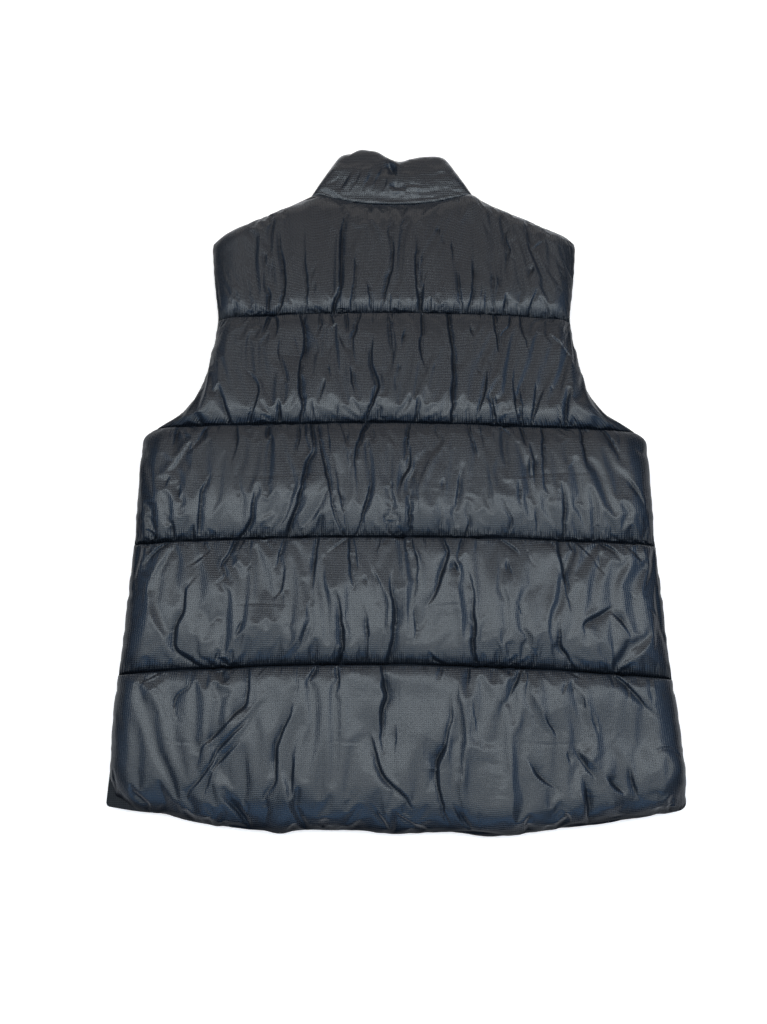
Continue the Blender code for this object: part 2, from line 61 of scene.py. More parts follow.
lens = bpy.data.cameras.new("camera")
lens.lens = FOCAL / PICTURE[1] * lens.sensor_width
camera = add_object("camera", lens)
camera.location = SEAT
camera.rotation_euler = (TILT, 0.0, 0.0)
bpy.context.scene.camera = camera
bpy.context.scene.view_settings.view_transform = "Standard"


def lying_at(across, down, height):
    """Where a place in the camera's picture lies on the vest, at that height above the table."""
    right = (np.asarray(across, float) - PICTURE[0] / 2) / FOCAL
    up = (PICTURE[1] / 2 - np.asarray(down, float)) / FOCAL
    forward_y = math.sin(TILT) + math.cos(TILT) * up
    forward_z = -math.cos(TILT) + math.sin(TILT) * up
    reach = (height - SEAT[2]) / forward_z
    return SEAT[0] + right * reach, SEAT[1] + forward_y * reach


def soft_light(name, place, aim, wide, tall, power, colour):
    panel = bpy.data.lights.new(name, "AREA")
    panel.shape = "RECTANGLE"
    panel.size, panel.size_y = wide, tall
    panel.energy = power
    panel.color = colour
    lamp = add_object(name, panel)
    lamp.location = place
    lamp.rotation_euler = (Vector(aim) - Vector(place)).to_track_quat("-Z", "Y").to_euler()


soft_light("overhead_light", (0.0, -0.66, 1.75), (0.0, -0.66, 0.0), 2.3, 1.50, 14.0, (0.79, 0.92, 1.0))
soft_light("skylight", (0.0, -0.01, 1.74), (0.0, -0.01, 0.0), 2.3, 0.42, 11.8, (0.84, 0.94, 1.0))
soft_light("ceiling_bounce", (0.0, 0.55, 1.95), (0.0, 0.55, 0.0), 3.0, 2.8, 11.8, (1.0, 0.91, 0.82))
soft_light("far_ceiling", (0.0, 1.8, 1.94), (0.0, 1.8, 0.0), 3.0, 1.4, 1.6, (1.0, 0.92, 0.84))
soft_light("back_wall", (0.0, 2.5, 1.2), (0.0, 0.35, 0.0), 3.0, 1.1, 10.0, (1.0, 0.93, 0.86))
soft_light("front_sky", (0.0, -1.9, 1.3), (0.0, -0.2, 0.0), 2.2, 0.8, 9.0, (0.26, 0.54, 1.0))
soft_light("left_sky", (-1.6, 0.1, 1.2), (0.0, 0.0, 0.0), 1.3, 1.2, 4.5, (0.38, 0.62, 1.0))
soft_light("right_sky", (1.55, 0.0, 1.25), (0.0, 0.0, 0.0), 1.5, 1.3, 6.5, (0.34, 0.59, 1.0))

world = bpy.data.worlds.new("studio")
world.use_nodes = True
world.node_tree.nodes["Background"].inputs["Color"].default_value = (0.86, 0.89, 0.92, 1.0)
world.node_tree.nodes["Background"].inputs["Strength"].default_value = 0.06
bpy.context.scene.world = world

# --- Back: five padded panels --------------------------------------------------------------------------
# Satin ripstop nylon over a thick fleece filling. Each panel is wider than the one seam that closes it
# below, so it is gathered there, and long soft creases run up from the seam between the gathers.

BACK_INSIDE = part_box("back_yoke")[0].z
SIDE = (
    # y, half width
    (-0.390, 0.3062), (-0.342, 0.3066), (-0.243, 0.3003), (-0.149, 0.2945), (-0.045, 0.2914),
    (0.009, 0.2908), (0.027, 0.2885), (0.040, 0.2720), (0.054, 0.2518), (0.082, 0.2281),
    (0.120, 0.2176), (0.172, 0.2100), (0.217, 0.2149), (0.257, 0.2190), (0.270, 0.2203),
    (0.277, 0.2198),
)
BACK_TOP = (
    # x, y
    (0.000, 0.3298), (0.030, 0.3309), (0.055, 0.3342), (0.078, 0.3398), (0.090, 0.3433), (0.100, 0.3420),
    (0.108, 0.3372), (0.125, 0.3285), (0.140, 0.3214), (0.165, 0.3095), (0.189, 0.2975), (0.2075, 0.2870),
    (0.2215, 0.2750),
)
HEM_HALF, SHOULDER_HALF = 0.300, 0.215
SIDE_PULL = 3.0  # how near the sides the columns begin to follow them
SHOULDER_TIP_Y = 0.2765
NECK_HALF = 0.096
HEM = (-0.4068, 0.0245, 2.5, 0.0)  # in the form of a cross seam
HEM_WAVES = (
    # x, how far the hem is drawn up
    (-0.306, 0.0030), (-0.265, 0.0042), (-0.244, 0.0058), (-0.217, 0.0022), (-0.170, 0.0005),
    (-0.138, 0.0006), (-0.122, -0.0026), (-0.106, 0.0008), (-0.059, 0.0033), (-0.030, 0.0030),
    (-0.014, 0.0008), (0.014, 0.0006), (0.037, 0.0018), (0.068, 0.0006), (0.084, -0.0020),
    (0.100, -0.0038), (0.132, -0.0030), (0.164, -0.0010), (0.216, 0.0004), (0.306, 0.0004),
)
HEM_CORNERS = (0.0035, 0.0070)  # how far the left and right corners are rounded off
CROSS_SEAMS = (
    # y at the middle, rise towards the sides, how late it rises, rise to the right
    (-0.2319, -0.0128, 2.0, -0.0025), (-0.0913, -0.0078, 2.2, -0.0010), (0.0439, -0.0080, 1.6, -0.0025),
    (0.1818, -0.0095, 2.2, -0.0008),
)
PANELS = (
    # node, swell, lower roll and upper roll, share of each that rises at once, columns, rows
    ("back_hem_baffle", 0.0240, (0.048, 0.026), (0.00, 0.82), 290, 74),
    ("back_baffle_4", 0.0215, (0.060, 0.030), (0.46, 0.88), 296, 68),
    ("back_baffle_3", 0.0215, (0.072, 0.048), (0.44, 0.68), 296, 66),
    ("back_baffle_2", 0.0195, (0.038, 0.046), (0.50, 0.68), 276, 66),
    ("back_yoke", 0.0160, (0.038, 0.024), (0.40, 0.00), 232, 70),
)
SIDE_ROLL, NECK_ROLL = 0.028, 0.040
AT_ONCE = 0.0023  # how wide the part of a roll is that rises at once
SEAM_WALL, EDGE_WALL, SEAM_GAP = 0.0022, 0.0012, 0.0003
LOOSE = (
    # spare width, hold of the filling, stiffness of the cloth, push of the filling
    (0.009, 0.13, 9.0, 0.3), (0.012, 0.13, 6.0, 0.3), (0.016, 0.13, 5.0, 0.3), (0.018, 0.13, 4.0, 0.3),
    (0.015, 0.14, 3.5, 0.3),
)
DRAWN_IN, SETTLED = 5, 16  # frames: the edges are gathered by the first, and the cloth is still by the last
MOST_MOVED = 0.006  # how far the simulation may move a point


def through(table, at):
    """The values at many places on the smooth curve through a table's rows."""
    places, values = np.array(table).T
    slopes = np.gradient(values, places)
    k = np.clip(np.searchsorted(places, at) - 1, 0, len(places) - 2)
    span = places[k + 1] - places[k]
    t = np.clip((at - places[k]) / span, 0, 1)
    rise = values[k] + t * t * (3 - 2 * t) * (values[k + 1] - values[k])
    return rise + span * (t * (1 - t) ** 2 * slopes[k] + t * t * (t - 1) * slopes[k + 1])


def mix(low, high, share):
    return low + (high - low) * share


def ease(share):
    share = np.clip(share, 0, 1)
    return share * share * (3 - 2 * share)


def swell(distance, roll):
    """Quarter ellipse from 0 at an edge to 1 where its roll ends."""
    return np.sqrt(np.maximum(0.0, 1 - (1 - np.clip(distance / roll, 0, 1)) ** 2))


def plump(distance, roll, at_once):
    """Like swell, but a share rises at once and the rest slowly, as cloth leaves a line of stitching."""
    crest = 1 - (1 - np.clip(distance / roll, 0, 1)) ** 3
    return at_once * swell(distance, AT_ONCE) + (1 - at_once) * crest


def cloud(x, y, wide, tall, seed):
    """Soft uneven values between -1 and 1, in lumps of that width and height."""
    values = np.random.default_rng(seed).uniform(-1, 1, (128, 128))
    u, v = x / wide + 40.3, y / tall + 37.7
    i, j = np.floor(u).astype(int), np.floor(v).astype(int)
    a, b = u - i, v - j
    a, b = a * a * (3 - 2 * a), b * b * (3 - 2 * b)
    i, j = i % 127, j % 127
    low = mix(values[i, j], values[i + 1, j], a)
    return mix(low, mix(values[i, j + 1], values[i + 1, j + 1], a), b)


def spread(length, roll_low, roll_high, count):
    """Shares from 0 to 1, close together where the cloth rolls down at both ends."""
    at = np.linspace(0, length, 4000)
    near = np.minimum(at / roll_low, (length - at) / roll_high)
    close = 1 / (0.16 + 0.84 * np.sqrt(np.clip(near, 0, 1)))
    run = np.concatenate(([0], np.cumsum((close[1:] + close[:-1]) / 2)))
    return np.interp(np.linspace(0, run[-1], count), run, at) / length


def column_x(s, edge_y):
    """How far out a column of points lies at that height of the side, for s from -1 to 1 across."""
    straight = mix(HEM_HALF, SHOULDER_HALF, (edge_y - HEM[0]) / (SHOULDER_TIP_Y - HEM[0]))
    return s * (straight + (through(SIDE, edge_y) - straight) * np.abs(s) ** SIDE_PULL)


def seam_y(seam, s):
    middle, rise, power, tilt = seam
    return middle + rise * np.abs(s) ** power + tilt * s


def bow(x, y):
    """How far along x the left edge has slipped above the hem, and both edges at the armholes."""
    at_hem = 0.0034 * np.exp(-(((y + 0.335) / 0.045) ** 2)) * np.clip(-x / 0.3, 0, 1) ** 12
    at_left = 0.0070 * np.exp(-(((y - 0.051) / 0.022) ** 2)) * np.clip(-x / 0.25, 0, 1) ** 8
    at_right = 0.0034 * np.exp(-(((y - 0.058) / 0.028) ** 2)) * np.clip(x / 0.25, 0, 1) ** 8
    return at_hem + at_left - at_right


def droop(x):
    """How far the right shoulder has slipped down."""
    return 0.0024 * ease((x - 0.090) / 0.020) * (1 - ease((x - 0.185) / 0.035))


def tuck(x, y):
    """Moves points near the back's lower left corner in, towards the middle of the panel."""
    pull = 0.010 * np.exp(-(np.hypot(x + 0.306, y + 0.384) / 0.026) ** 2)
    return x + pull, y + pull


# Creases of each panel: depth from 1 to 5, half width, then the places that the crease runs through, as
# x and y in the camera's picture. A depth below 0 is a fold that stands up, and below 1 a faint line.
CREASES = {
    "back_yoke": (
        (3, 3, 279, 228, 281, 250, 284, 270, 284, 290, 279, 307),
        (2, 2.2, 303, 222, 305, 240, 305, 265, 307, 285, 305, 312),
        (3, 3.2, 347, 212, 342, 230, 341, 250, 340, 285, 335, 302), (2, 2.2, 356, 248, 355, 270, 352, 302),
        (3, 3, 389, 228, 394, 252, 391, 270, 384, 300), (2, 2, 265, 282, 269, 295, 269, 312),
        (1, 1.5, 273, 256, 273, 290), (1, 1.5, 265, 252, 265, 268), (1, 1.2, 319, 262, 313, 275, 311, 298),
        (1, 1.2, 316, 280, 315, 298), (2, 2, 363, 273, 369, 290, 371, 308), (2, 2, 330, 298, 327, 310),
        (1, 2, 390, 288, 391, 310), (1, 2.5, 236, 290, 234, 312),
        (2, 2.5, 418, 235, 416, 250, 417, 275, 419, 311), (2, 2, 422, 247, 421, 270, 420, 308),
        (2, 2, 428, 262, 425, 280, 421, 308), (1, 1.5, 430, 287, 432, 311), (1, 1.5, 439, 225, 440, 240),
        (1, 1.5, 443, 235, 446, 248), (1, 2, 452, 240, 454, 260), (2, 2.5, 460, 257, 458, 275, 461, 300),
        (3, 4, 473, 258, 473, 290, 470, 305), (1, 1.5, 482, 280, 482, 311), (1, 1.5, 486, 280, 486, 300),
        (2, 2, 494, 262, 493, 280, 494, 300), (1, 1.5, 499, 275, 499, 290),
        (3, 3, 511, 225, 506, 235, 509, 250, 508, 262, 506, 275), (2, 2, 506, 288, 505, 311),
        (2, 4, 533, 263, 529, 280), (1, 4, 545, 240, 530, 252), (2, 2, 537, 288, 530, 311),
        (-1, 3, 505, 234, 511, 244),
    ),
    "back_baffle_2": (
        (2, 2.5, 274, 315, 277, 325, 275, 340), (2, 2.5, 266, 320, 261, 335),
        (4, 4, 301, 313, 306, 340, 305, 350, 301, 362, 300, 375, 301, 395, 303, 405, 300, 418),
        (1, 1.5, 293, 332, 299, 358), (2, 2, 320, 312, 319, 330, 314, 340), (2, 2, 331, 313, 333, 327),
        (2, 2, 338, 330, 345, 352), (2, 3.5, 359, 315, 352, 345, 356, 365), (2, 2, 347, 315, 348, 340),
        (2, 2, 373, 318, 371, 335), (3, 3, 375, 330, 372, 345, 372, 362, 377, 385, 374, 400, 368, 415),
        (1, 3, 389, 318, 393, 350, 392, 370), (2, 2.5, 241, 365, 257, 387, 257, 395, 250, 420),
        (2, 3, 219, 385, 226, 412, 229, 421), (2, 2.5, 281, 335, 279, 350, 288, 385),
        (1, 1.5, 328, 365, 330, 378), (2, 2.5, 326, 378, 318, 403), (2, 2, 350, 365, 355, 400),
        (2, 2, 311, 397, 314, 420), (1, 1.5, 280, 400, 280, 410), (1, 1.5, 392, 320, 396, 350, 394, 358),
        (1, 1.5, 401, 362, 400, 380), (1, 1.5, 396, 375, 398, 395), (2, 2, 407, 327, 402, 350),
        (2, 2, 423, 322, 421, 345, 426, 375, 425, 388), (1, 1.5, 436, 360, 435, 378),
        (4, 4.5, 449, 315, 453, 350, 454, 365, 453, 385, 453, 418), (2, 2, 471, 325, 474, 340),
        (2, 2, 495, 320, 497, 335, 499, 350, 504, 360), (2, 2, 511, 315, 508, 328, 503, 333, 505, 355),
        (3, 2.5, 486, 362, 486, 380, 482, 400, 478, 415), (1, 1.5, 477, 368, 481, 378),
        (2, 2.5, 487, 392, 493, 405, 496, 425), (1, 1.5, 495, 395, 498, 405),
        (2, 4, 521, 318, 524, 335, 532, 358), (2, 2, 513, 365, 516, 405, 519, 418),
        (2, 2.5, 521, 380, 520, 395, 524, 425), (1, 1.5, 523, 378, 526, 400),
        (2, 2.5, 531, 370, 536, 390, 533, 415), (2, 2.5, 545, 385, 534, 417),
        (2, 3, 549, 333, 568, 353, 576, 364), (1, 1.5, 552, 385, 556, 395), (1, 1.5, 558, 400, 560, 415),
        (2, 3, 570, 392, 567, 405, 567, 417), (2, 2, 468, 400, 467, 420), (1, 2, 419, 395, 415, 420),
        (1, 1.5, 409, 395, 409, 405), (-2, 3, 547, 330, 566, 350, 574, 360),
        (0.5, 1.6, 240, 357, 275, 354, 300, 356, 330, 352),
        (0.4, 1.6, 430, 352, 470, 356, 500, 360, 530, 357),
    ),
    "back_baffle_3": (
        (1, 4, 179, 425, 173, 455), (2, 3, 206, 428, 193, 448, 186, 455),
        (3, 3, 236, 427, 237, 437, 231, 462, 227, 469), (2, 2, 268, 427, 266, 450),
        (2, 2.5, 299, 424, 299, 435, 294, 465),
        (4, 4, 312, 428, 314, 440, 313, 452, 308, 462, 305, 475, 302, 488, 298, 505, 292, 520, 287, 535),
        (3, 3, 255, 483, 253, 500, 251, 520, 246, 528, 239, 535),
        (2, 2.5, 215, 470, 203, 490, 200, 505, 198, 522), (1, 2, 181, 485, 178, 500),
        (1, 2, 170, 475, 166, 490), (2, 2, 164, 525, 164, 535), (2, 2, 173, 520, 173, 535),
        (2, 2, 193, 520, 193, 535), (2, 2, 205, 525, 210, 535),
        (3, 3, 317, 425, 323, 455, 330, 485, 336, 515, 341, 527), (1, 2, 328, 430, 331, 460),
        (2, 2.5, 335, 458, 341, 495, 347, 527), (1, 2.5, 342, 425, 346, 440, 344, 455),
        (3, 3, 364, 428, 357, 450, 358, 485), (1, 2, 353, 440, 350, 480),
        (3, 2.5, 369, 460, 370, 490, 362, 518, 357, 530), (2, 2.5, 410, 425, 404, 465),
        (3, 3, 411, 440, 407, 470, 402, 480, 400, 508), (2, 2.5, 411, 500, 409, 528),
        (2, 3, 463, 463, 458, 490, 456, 510), (2, 2.5, 467, 513, 470, 522, 466, 533),
        (3, 2.5, 470, 427, 473, 440, 476, 455, 475, 470), (1, 1.5, 444, 478, 444, 495),
        (2, 2.5, 506, 495, 505, 505, 513, 523, 509, 533), (3, 3, 520, 425, 527, 448),
        (3, 3, 528, 440, 532, 452, 535, 470, 535, 495), (1, 1.5, 528, 455, 529, 485),
        (2, 2.5, 543, 430, 544, 475, 546, 495), (2, 2.5, 519, 480, 523, 510), (2, 2, 536, 505, 538, 532),
        (3, 3, 562, 480, 565, 510, 564, 532), (3, 3, 581, 427, 583, 445, 587, 472),
        (1, 2, 586, 430, 588, 448), (2, 3, 605, 432, 616, 450, 622, 462),
        (2, 3.5, 624, 475, 640, 497, 645, 510), (-2, 3, 190, 440, 168, 472),
        (-2, 2.5, 250, 505, 246, 518, 239, 530), (-2, 3, 406, 495, 403, 525),
        (-2, 5, 451, 440, 432, 460, 420, 490, 422, 520), (-1, 4, 487, 455, 494, 495, 496, 515),
        (-1, 5, 556, 490, 556, 520), (0.4, 1.6, 180, 474, 260, 477, 330, 474, 400, 476),
        (0.4, 1.6, 430, 475, 500, 478, 570, 474, 635, 478),
    ),
    "back_baffle_4": (
        (2, 2, 165, 543, 152, 555, 140, 568),
        (3, 5, 200, 573, 186, 590, 183, 610, 175, 625, 176, 650, 190, 660),
        (2, 2, 207, 545, 208, 550, 195, 562, 183, 570),
        (4, 3.5, 234, 543, 228, 555, 222, 565, 225, 575, 220, 582, 212, 586), (2, 2.5, 242, 543, 237, 552),
        (3, 2.5, 284, 540, 280, 555, 277, 565, 273, 570), (3, 3, 286, 565, 283, 580, 280, 592, 273, 600),
        (2, 2, 243, 615, 240, 625, 232, 640), (1, 1.5, 219, 650, 214, 660),
        (3, 2.5, 311, 620, 305, 635, 301, 648), (4, 4.5, 318, 540, 316, 550, 314, 570, 313, 588),
        (1, 3, 345, 540, 335, 547, 325, 555), (4, 4, 335, 590, 338, 600, 340, 620, 342, 645, 341, 655),
        (3, 4, 350, 540, 350, 560, 352, 580, 354, 590), (3, 3, 354, 545, 356, 560, 357, 575),
        (1, 2, 365, 575, 367, 585), (3, 3.5, 364, 605, 366, 620, 367, 640, 367, 655),
        (3, 2.5, 371, 570, 378, 580, 383, 590), (3, 2.5, 378, 545, 376, 560),
        (4, 5, 391, 570, 392, 590, 395, 600, 395, 620, 394, 640, 390, 655),
        (3, 3, 412, 540, 415, 555, 417, 575, 417, 583), (3, 3, 416, 605, 416, 630, 415, 648),
        (5, 4, 443, 540, 448, 550, 443, 570, 438, 585, 433, 598, 426, 608),
        (4, 3, 463, 540, 460, 550, 457, 558), (4, 4, 453, 560, 456, 568, 460, 575),
        (4, 4, 468, 570, 471, 580, 473, 595, 473, 610, 474, 625, 474, 640, 475, 655),
        (4, 3.5, 428, 650, 436, 660, 443, 663), (3, 2.5, 508, 545, 515, 550, 519, 556, 516, 565),
        (2, 1.5, 526, 548, 530, 558, 538, 568), (3, 2.5, 507, 558, 509, 570, 512, 582),
        (2, 2, 515, 600, 525, 622), (2, 2.5, 540, 645, 537, 655, 534, 664),
        (5, 4.5, 559, 548, 562, 560, 565, 580, 568, 600, 571, 615), (2, 2, 551, 543, 557, 553),
        (4, 3.5, 560, 612, 560, 635, 561, 648, 567, 655, 573, 665), (2, 3, 571, 545, 573, 550, 571, 560),
        (3, 2, 580, 545, 590, 555, 598, 568, 606, 578), (2, 5, 613, 605, 600, 615, 585, 625, 587, 640),
        (3, 4, 608, 610, 620, 620, 632, 638), (3, 3, 605, 545, 613, 551, 620, 557),
        (2, 4, 625, 545, 636, 555, 645, 565), (1, 1.5, 627, 590, 638, 600),
        (2, 2.5, 648, 605, 655, 612, 660, 620), (-2, 4, 172, 545, 150, 585, 150, 610, 163, 640, 172, 660),
        (-2, 3, 242, 555, 232, 568), (-2, 3, 308, 600, 300, 635, 285, 655),
        (-2, 3, 325, 560, 330, 595, 335, 608), (-2, 3, 370, 560, 380, 580, 390, 605, 388, 620, 382, 655),
        (-2, 3, 404, 545, 407, 590, 407, 640), (-3, 4, 457, 580, 460, 605, 462, 645),
        (-2, 3, 502, 550, 505, 575, 512, 615), (-2, 3, 520, 625, 535, 640, 537, 650),
        (-2, 3, 555, 560, 556, 590, 547, 620, 553, 655), (-2, 4, 655, 630, 645, 650, 625, 665),
        (-2, 4, 642, 548, 655, 570), (0.4, 1.6, 225, 606, 262, 604, 300, 607),
        (0.4, 1.6, 420, 607, 470, 604, 505, 606),
    ),
    "back_hem_baffle": (
        (2, 2, 155, 675, 145, 681, 135, 687),
        (3, 2, 192, 675, 190, 685, 180, 693, 175, 700, 175, 715, 178, 727),
        (3, 4, 247, 670, 247, 690, 245, 705, 237, 712, 225, 725, 212, 738, 203, 745, 198, 760, 193, 770),
        (5, 4.5, 250, 715, 232, 735, 218, 750, 210, 765, 200, 778, 190, 790, 183, 805),
        (3, 4, 240, 740, 225, 755, 213, 770, 205, 790, 200, 800),
        (5, 4.5, 293, 700, 290, 715, 283, 730, 277, 745, 275, 765, 275, 780, 270, 790, 262, 800),
        (2, 2, 298, 675, 296, 695), (2, 3, 293, 750, 292, 780, 292, 800),
        (4, 4, 127, 788, 138, 798, 150, 808), (4, 5, 220, 795, 235, 810, 245, 825),
        (1, 1.5, 260, 672, 255, 678), (2, 2, 316, 668, 307, 685), (1, 1.5, 332, 672, 333, 685),
        (1, 1.5, 338, 675, 340, 690), (5, 5, 382, 668, 385, 685, 388, 695, 384, 710, 382, 735, 385, 755),
        (2, 2, 396, 722, 396, 740, 395, 765),
        (5, 5, 368, 732, 373, 745, 377, 760, 383, 775, 392, 785, 402, 795, 410, 805, 418, 813),
        (3, 4, 390, 810, 405, 820, 425, 830), (4, 4, 370, 803, 378, 815, 385, 825),
        (3, 3, 441, 668, 441, 680),
        (5, 7, 452, 693, 452, 720, 447, 735, 445, 745, 438, 760, 436, 775, 439, 790, 443, 810, 450, 825),
        (4, 4, 452, 803, 460, 815, 472, 830), (3, 2.5, 470, 670, 468, 688), (2, 2, 474, 700, 478, 735),
        (2, 3, 478, 805, 480, 825), (3, 2, 519, 675, 512, 690, 508, 705), (2, 1.5, 524, 670, 524, 685),
        (4, 4, 543, 712, 550, 725, 558, 738), (2, 2, 568, 680, 563, 695), (1, 1.5, 573, 680, 575, 695),
        (3, 2, 575, 675, 585, 680), (2, 2, 583, 695, 585, 710), (2, 2.5, 592, 712, 598, 735),
        (4, 2.5, 617, 677, 633, 692, 648, 708, 660, 717, 673, 718), (3, 5, 575, 748, 585, 765, 597, 780),
        (2, 2, 567, 750, 572, 765), (3, 4, 527, 757, 540, 775, 563, 795),
        (5, 6, 585, 780, 588, 800, 590, 825), (3, 5, 605, 775, 615, 785, 625, 795),
        (3, 4, 628, 765, 635, 790, 640, 800), (2, 2, 655, 750, 668, 748, 683, 758),
        (3, 4, 560, 810, 570, 820, 572, 826), (-2, 4, 165, 680, 140, 700),
        (-3, 5, 268, 690, 250, 712, 222, 742, 200, 775, 190, 785),
        (-2, 4, 278, 760, 285, 790, 290, 810, 298, 825), (-2, 3, 240, 800, 243, 815),
        (-3, 4, 386, 795, 386, 810, 392, 827),
        (-3, 5, 460, 670, 462, 700, 467, 730, 465, 760, 462, 790, 466, 815, 475, 830),
        (-2, 4, 530, 680, 535, 700, 543, 715, 555, 735), (-1, 4, 575, 680, 585, 700, 590, 720, 597, 735),
        (-1, 4, 645, 678, 665, 700), (-3, 4, 577, 748, 600, 770),
        (-2, 5, 510, 740, 512, 780, 513, 810, 516, 832), (-3, 3.5, 580, 772, 580, 790, 583, 810, 583, 825),
        (-2, 4, 600, 812, 625, 803), (-2, 4, 642, 800, 665, 800, 673, 790), (0.4, 1.8, 160, 741, 195, 744),
        (0.7, 1.8, 328, 742, 365, 744), (0.4, 1.8, 510, 741, 555, 744, 600, 740),
    ),
}

def line_through(places, step):
    """Points a step apart on the smooth curve through a few places, and the curve's length."""
    places = np.array(places)
    run = np.concatenate(([0], np.cumsum(np.hypot(*np.diff(places, axis=0).T))))
    at = np.linspace(0, run[-1], max(int(run[-1] / step), 3))
    line = np.stack([through(np.stack((run, places[:, k]), 1), at) for k in (0, 1)], 1)
    line[:, 0] += 0.0012 * cloud(at + places[0, 0], at * 0, 0.009, 1.0, 5)
    return line, run[-1]


def run_on(line, end):
    """The line carried on straight past one of its ends."""
    last, before = (line[-1], line[-2]) if end else (line[0], line[1])
    more = last + (last - before) * np.arange(1, 9)[:, None]
    return np.concatenate((line, more)) if end else np.concatenate((more[::-1], line))


def press(x, y, height, line, half, depth, fades, seed):
    """Adds one crease along a line to the height: a sharp valley, gentle on one side, with the cloth
    standing up a little beyond its other, steep side."""
    reach = 7.0 * half
    low, high = line.min(0) - reach, line.max(0) + reach
    rows, columns = np.nonzero((x > low[0]) & (x < high[0]) & (y > low[1]) & (y < high[1]))
    if not len(rows):
        return
    px, py = x[rows, columns], y[rows, columns]
    away = (px[:, None] - line[None, :, 0]) ** 2 + (py[:, None] - line[None, :, 1]) ** 2
    near = away.argmin(1)
    run = np.gradient(line, axis=0)
    run /= np.hypot(*run.T)[:, None]
    side = run[near, 0] * (py - line[near, 1]) - run[near, 1] * (px - line[near, 0])
    distance = np.sqrt(away[np.arange(len(near)), near])
    draw = np.random.default_rng(seed)
    lean = draw.choice((-1.0, 1.0))
    share = near / (len(line) - 1)
    wander = 1 + 0.45 * cloud(share * len(line) * 0.0014 + seed * 0.37, py * 0, 0.016, 0.03, seed)
    start, end = fades
    fade = np.clip(share / start, 0, 1) if start else 1.0
    fade = fade * (np.clip((1 - share) / end, 0, 1) if end else 1.0)
    wide = half * wander * (0.45 + 0.55 * fade)
    u = distance / wide
    gentle = np.clip(-lean * side / wide, 0, 9)
    steep = np.clip(lean * side / wide, 0, 9)
    beyond_ends = np.maximum(u * u - gentle ** 2 - steep ** 2, 0)
    over = np.sqrt((gentle * 0.45 + steep * 1.35) ** 2 + beyond_ends + 0.06)
    valley = np.exp(-1.15 * (over - 0.245)) - 0.30 * np.exp(-(((steep - 1.9) / 0.9) ** 2)) * (steep > 0)
    height[rows, columns] -= depth * wander * fade * valley


def sunk(height, reach, deep):
    """From 0 to 1, how far each grid point lies below the others within that reach."""
    mean = height
    for axis in (0, 1, 0, 1):
        padded = np.pad(mean, [(reach, reach) if way == axis else (0, 0) for way in (0, 1)], mode="edge")
        mean = sum(np.take(padded, range(k, k + mean.shape[axis]), axis) for k in range(2 * reach + 1))
        mean = mean / (2 * reach + 1)
    return ease((mean - height) / deep)


def grid_faces(rows, columns):
    """The quads of a grid of points, and the points round its rim in order."""
    index = np.arange(rows * columns).reshape(rows, columns)
    quads = np.stack((index[:-1, :-1], index[:-1, 1:], index[1:, 1:], index[1:, :-1]), -1).reshape(-1, 4)
    rim = np.concatenate((index[0, :-1], index[:-1, -1], index[-1, :0:-1], index[:0:-1, 0]))
    return quads, rim


def cloth_piece(name, points, faces, pattern):
    """A piece of cloth, with each point's place on the flat cloth as its UV map."""
    mesh = bpy.data.meshes.new(name)
    mesh.from_pydata(points.tolist(), [], faces)
    corner = np.empty(len(mesh.loops), np.int32)
    mesh.loops.foreach_get("vertex_index", corner)
    mesh.uv_layers.new(name="cloth").data.foreach_set("uv", pattern[corner].astype(np.float32).ravel())
    mesh.shade_smooth()
    mesh.set_sharp_from_angle(angle=math.radians(75))
    return add_object(name, mesh)


def closed_panel(name, points, inner_z, cloth, marks):
    """A padded panel as one closed mesh: the grid of outer points, and side walls to a flat inner face.
    Its marks are values at the outer points that its material reads."""
    rows, columns = points.shape[:2]
    quads, rim = grid_faces(rows, columns)
    below = np.arange(len(rim)) + rows * columns
    flat = points.reshape(-1, 3)
    under = flat[rim].copy()
    under[:, 2] = inner_z
    walls = np.stack((below, np.roll(below, -1), np.roll(rim, -1), rim), -1)
    faces = quads.tolist() + walls.tolist() + [below[::-1].tolist()]
    if inner_z > flat[:, 2].mean():
        faces = [face[::-1] for face in faces]
    pattern = np.concatenate((cloth.reshape(-1, 2), cloth.reshape(-1, 2)[rim]))
    piece = cloth_piece(name, np.concatenate((flat, under)), faces, pattern)
    for mark, values in marks:
        values = np.concatenate((values.ravel(), values.ravel()[rim])).astype(np.float32)
        piece.data.attributes.new(mark, "FLOAT", "POINT").data.foreach_set("value", values)
    return piece


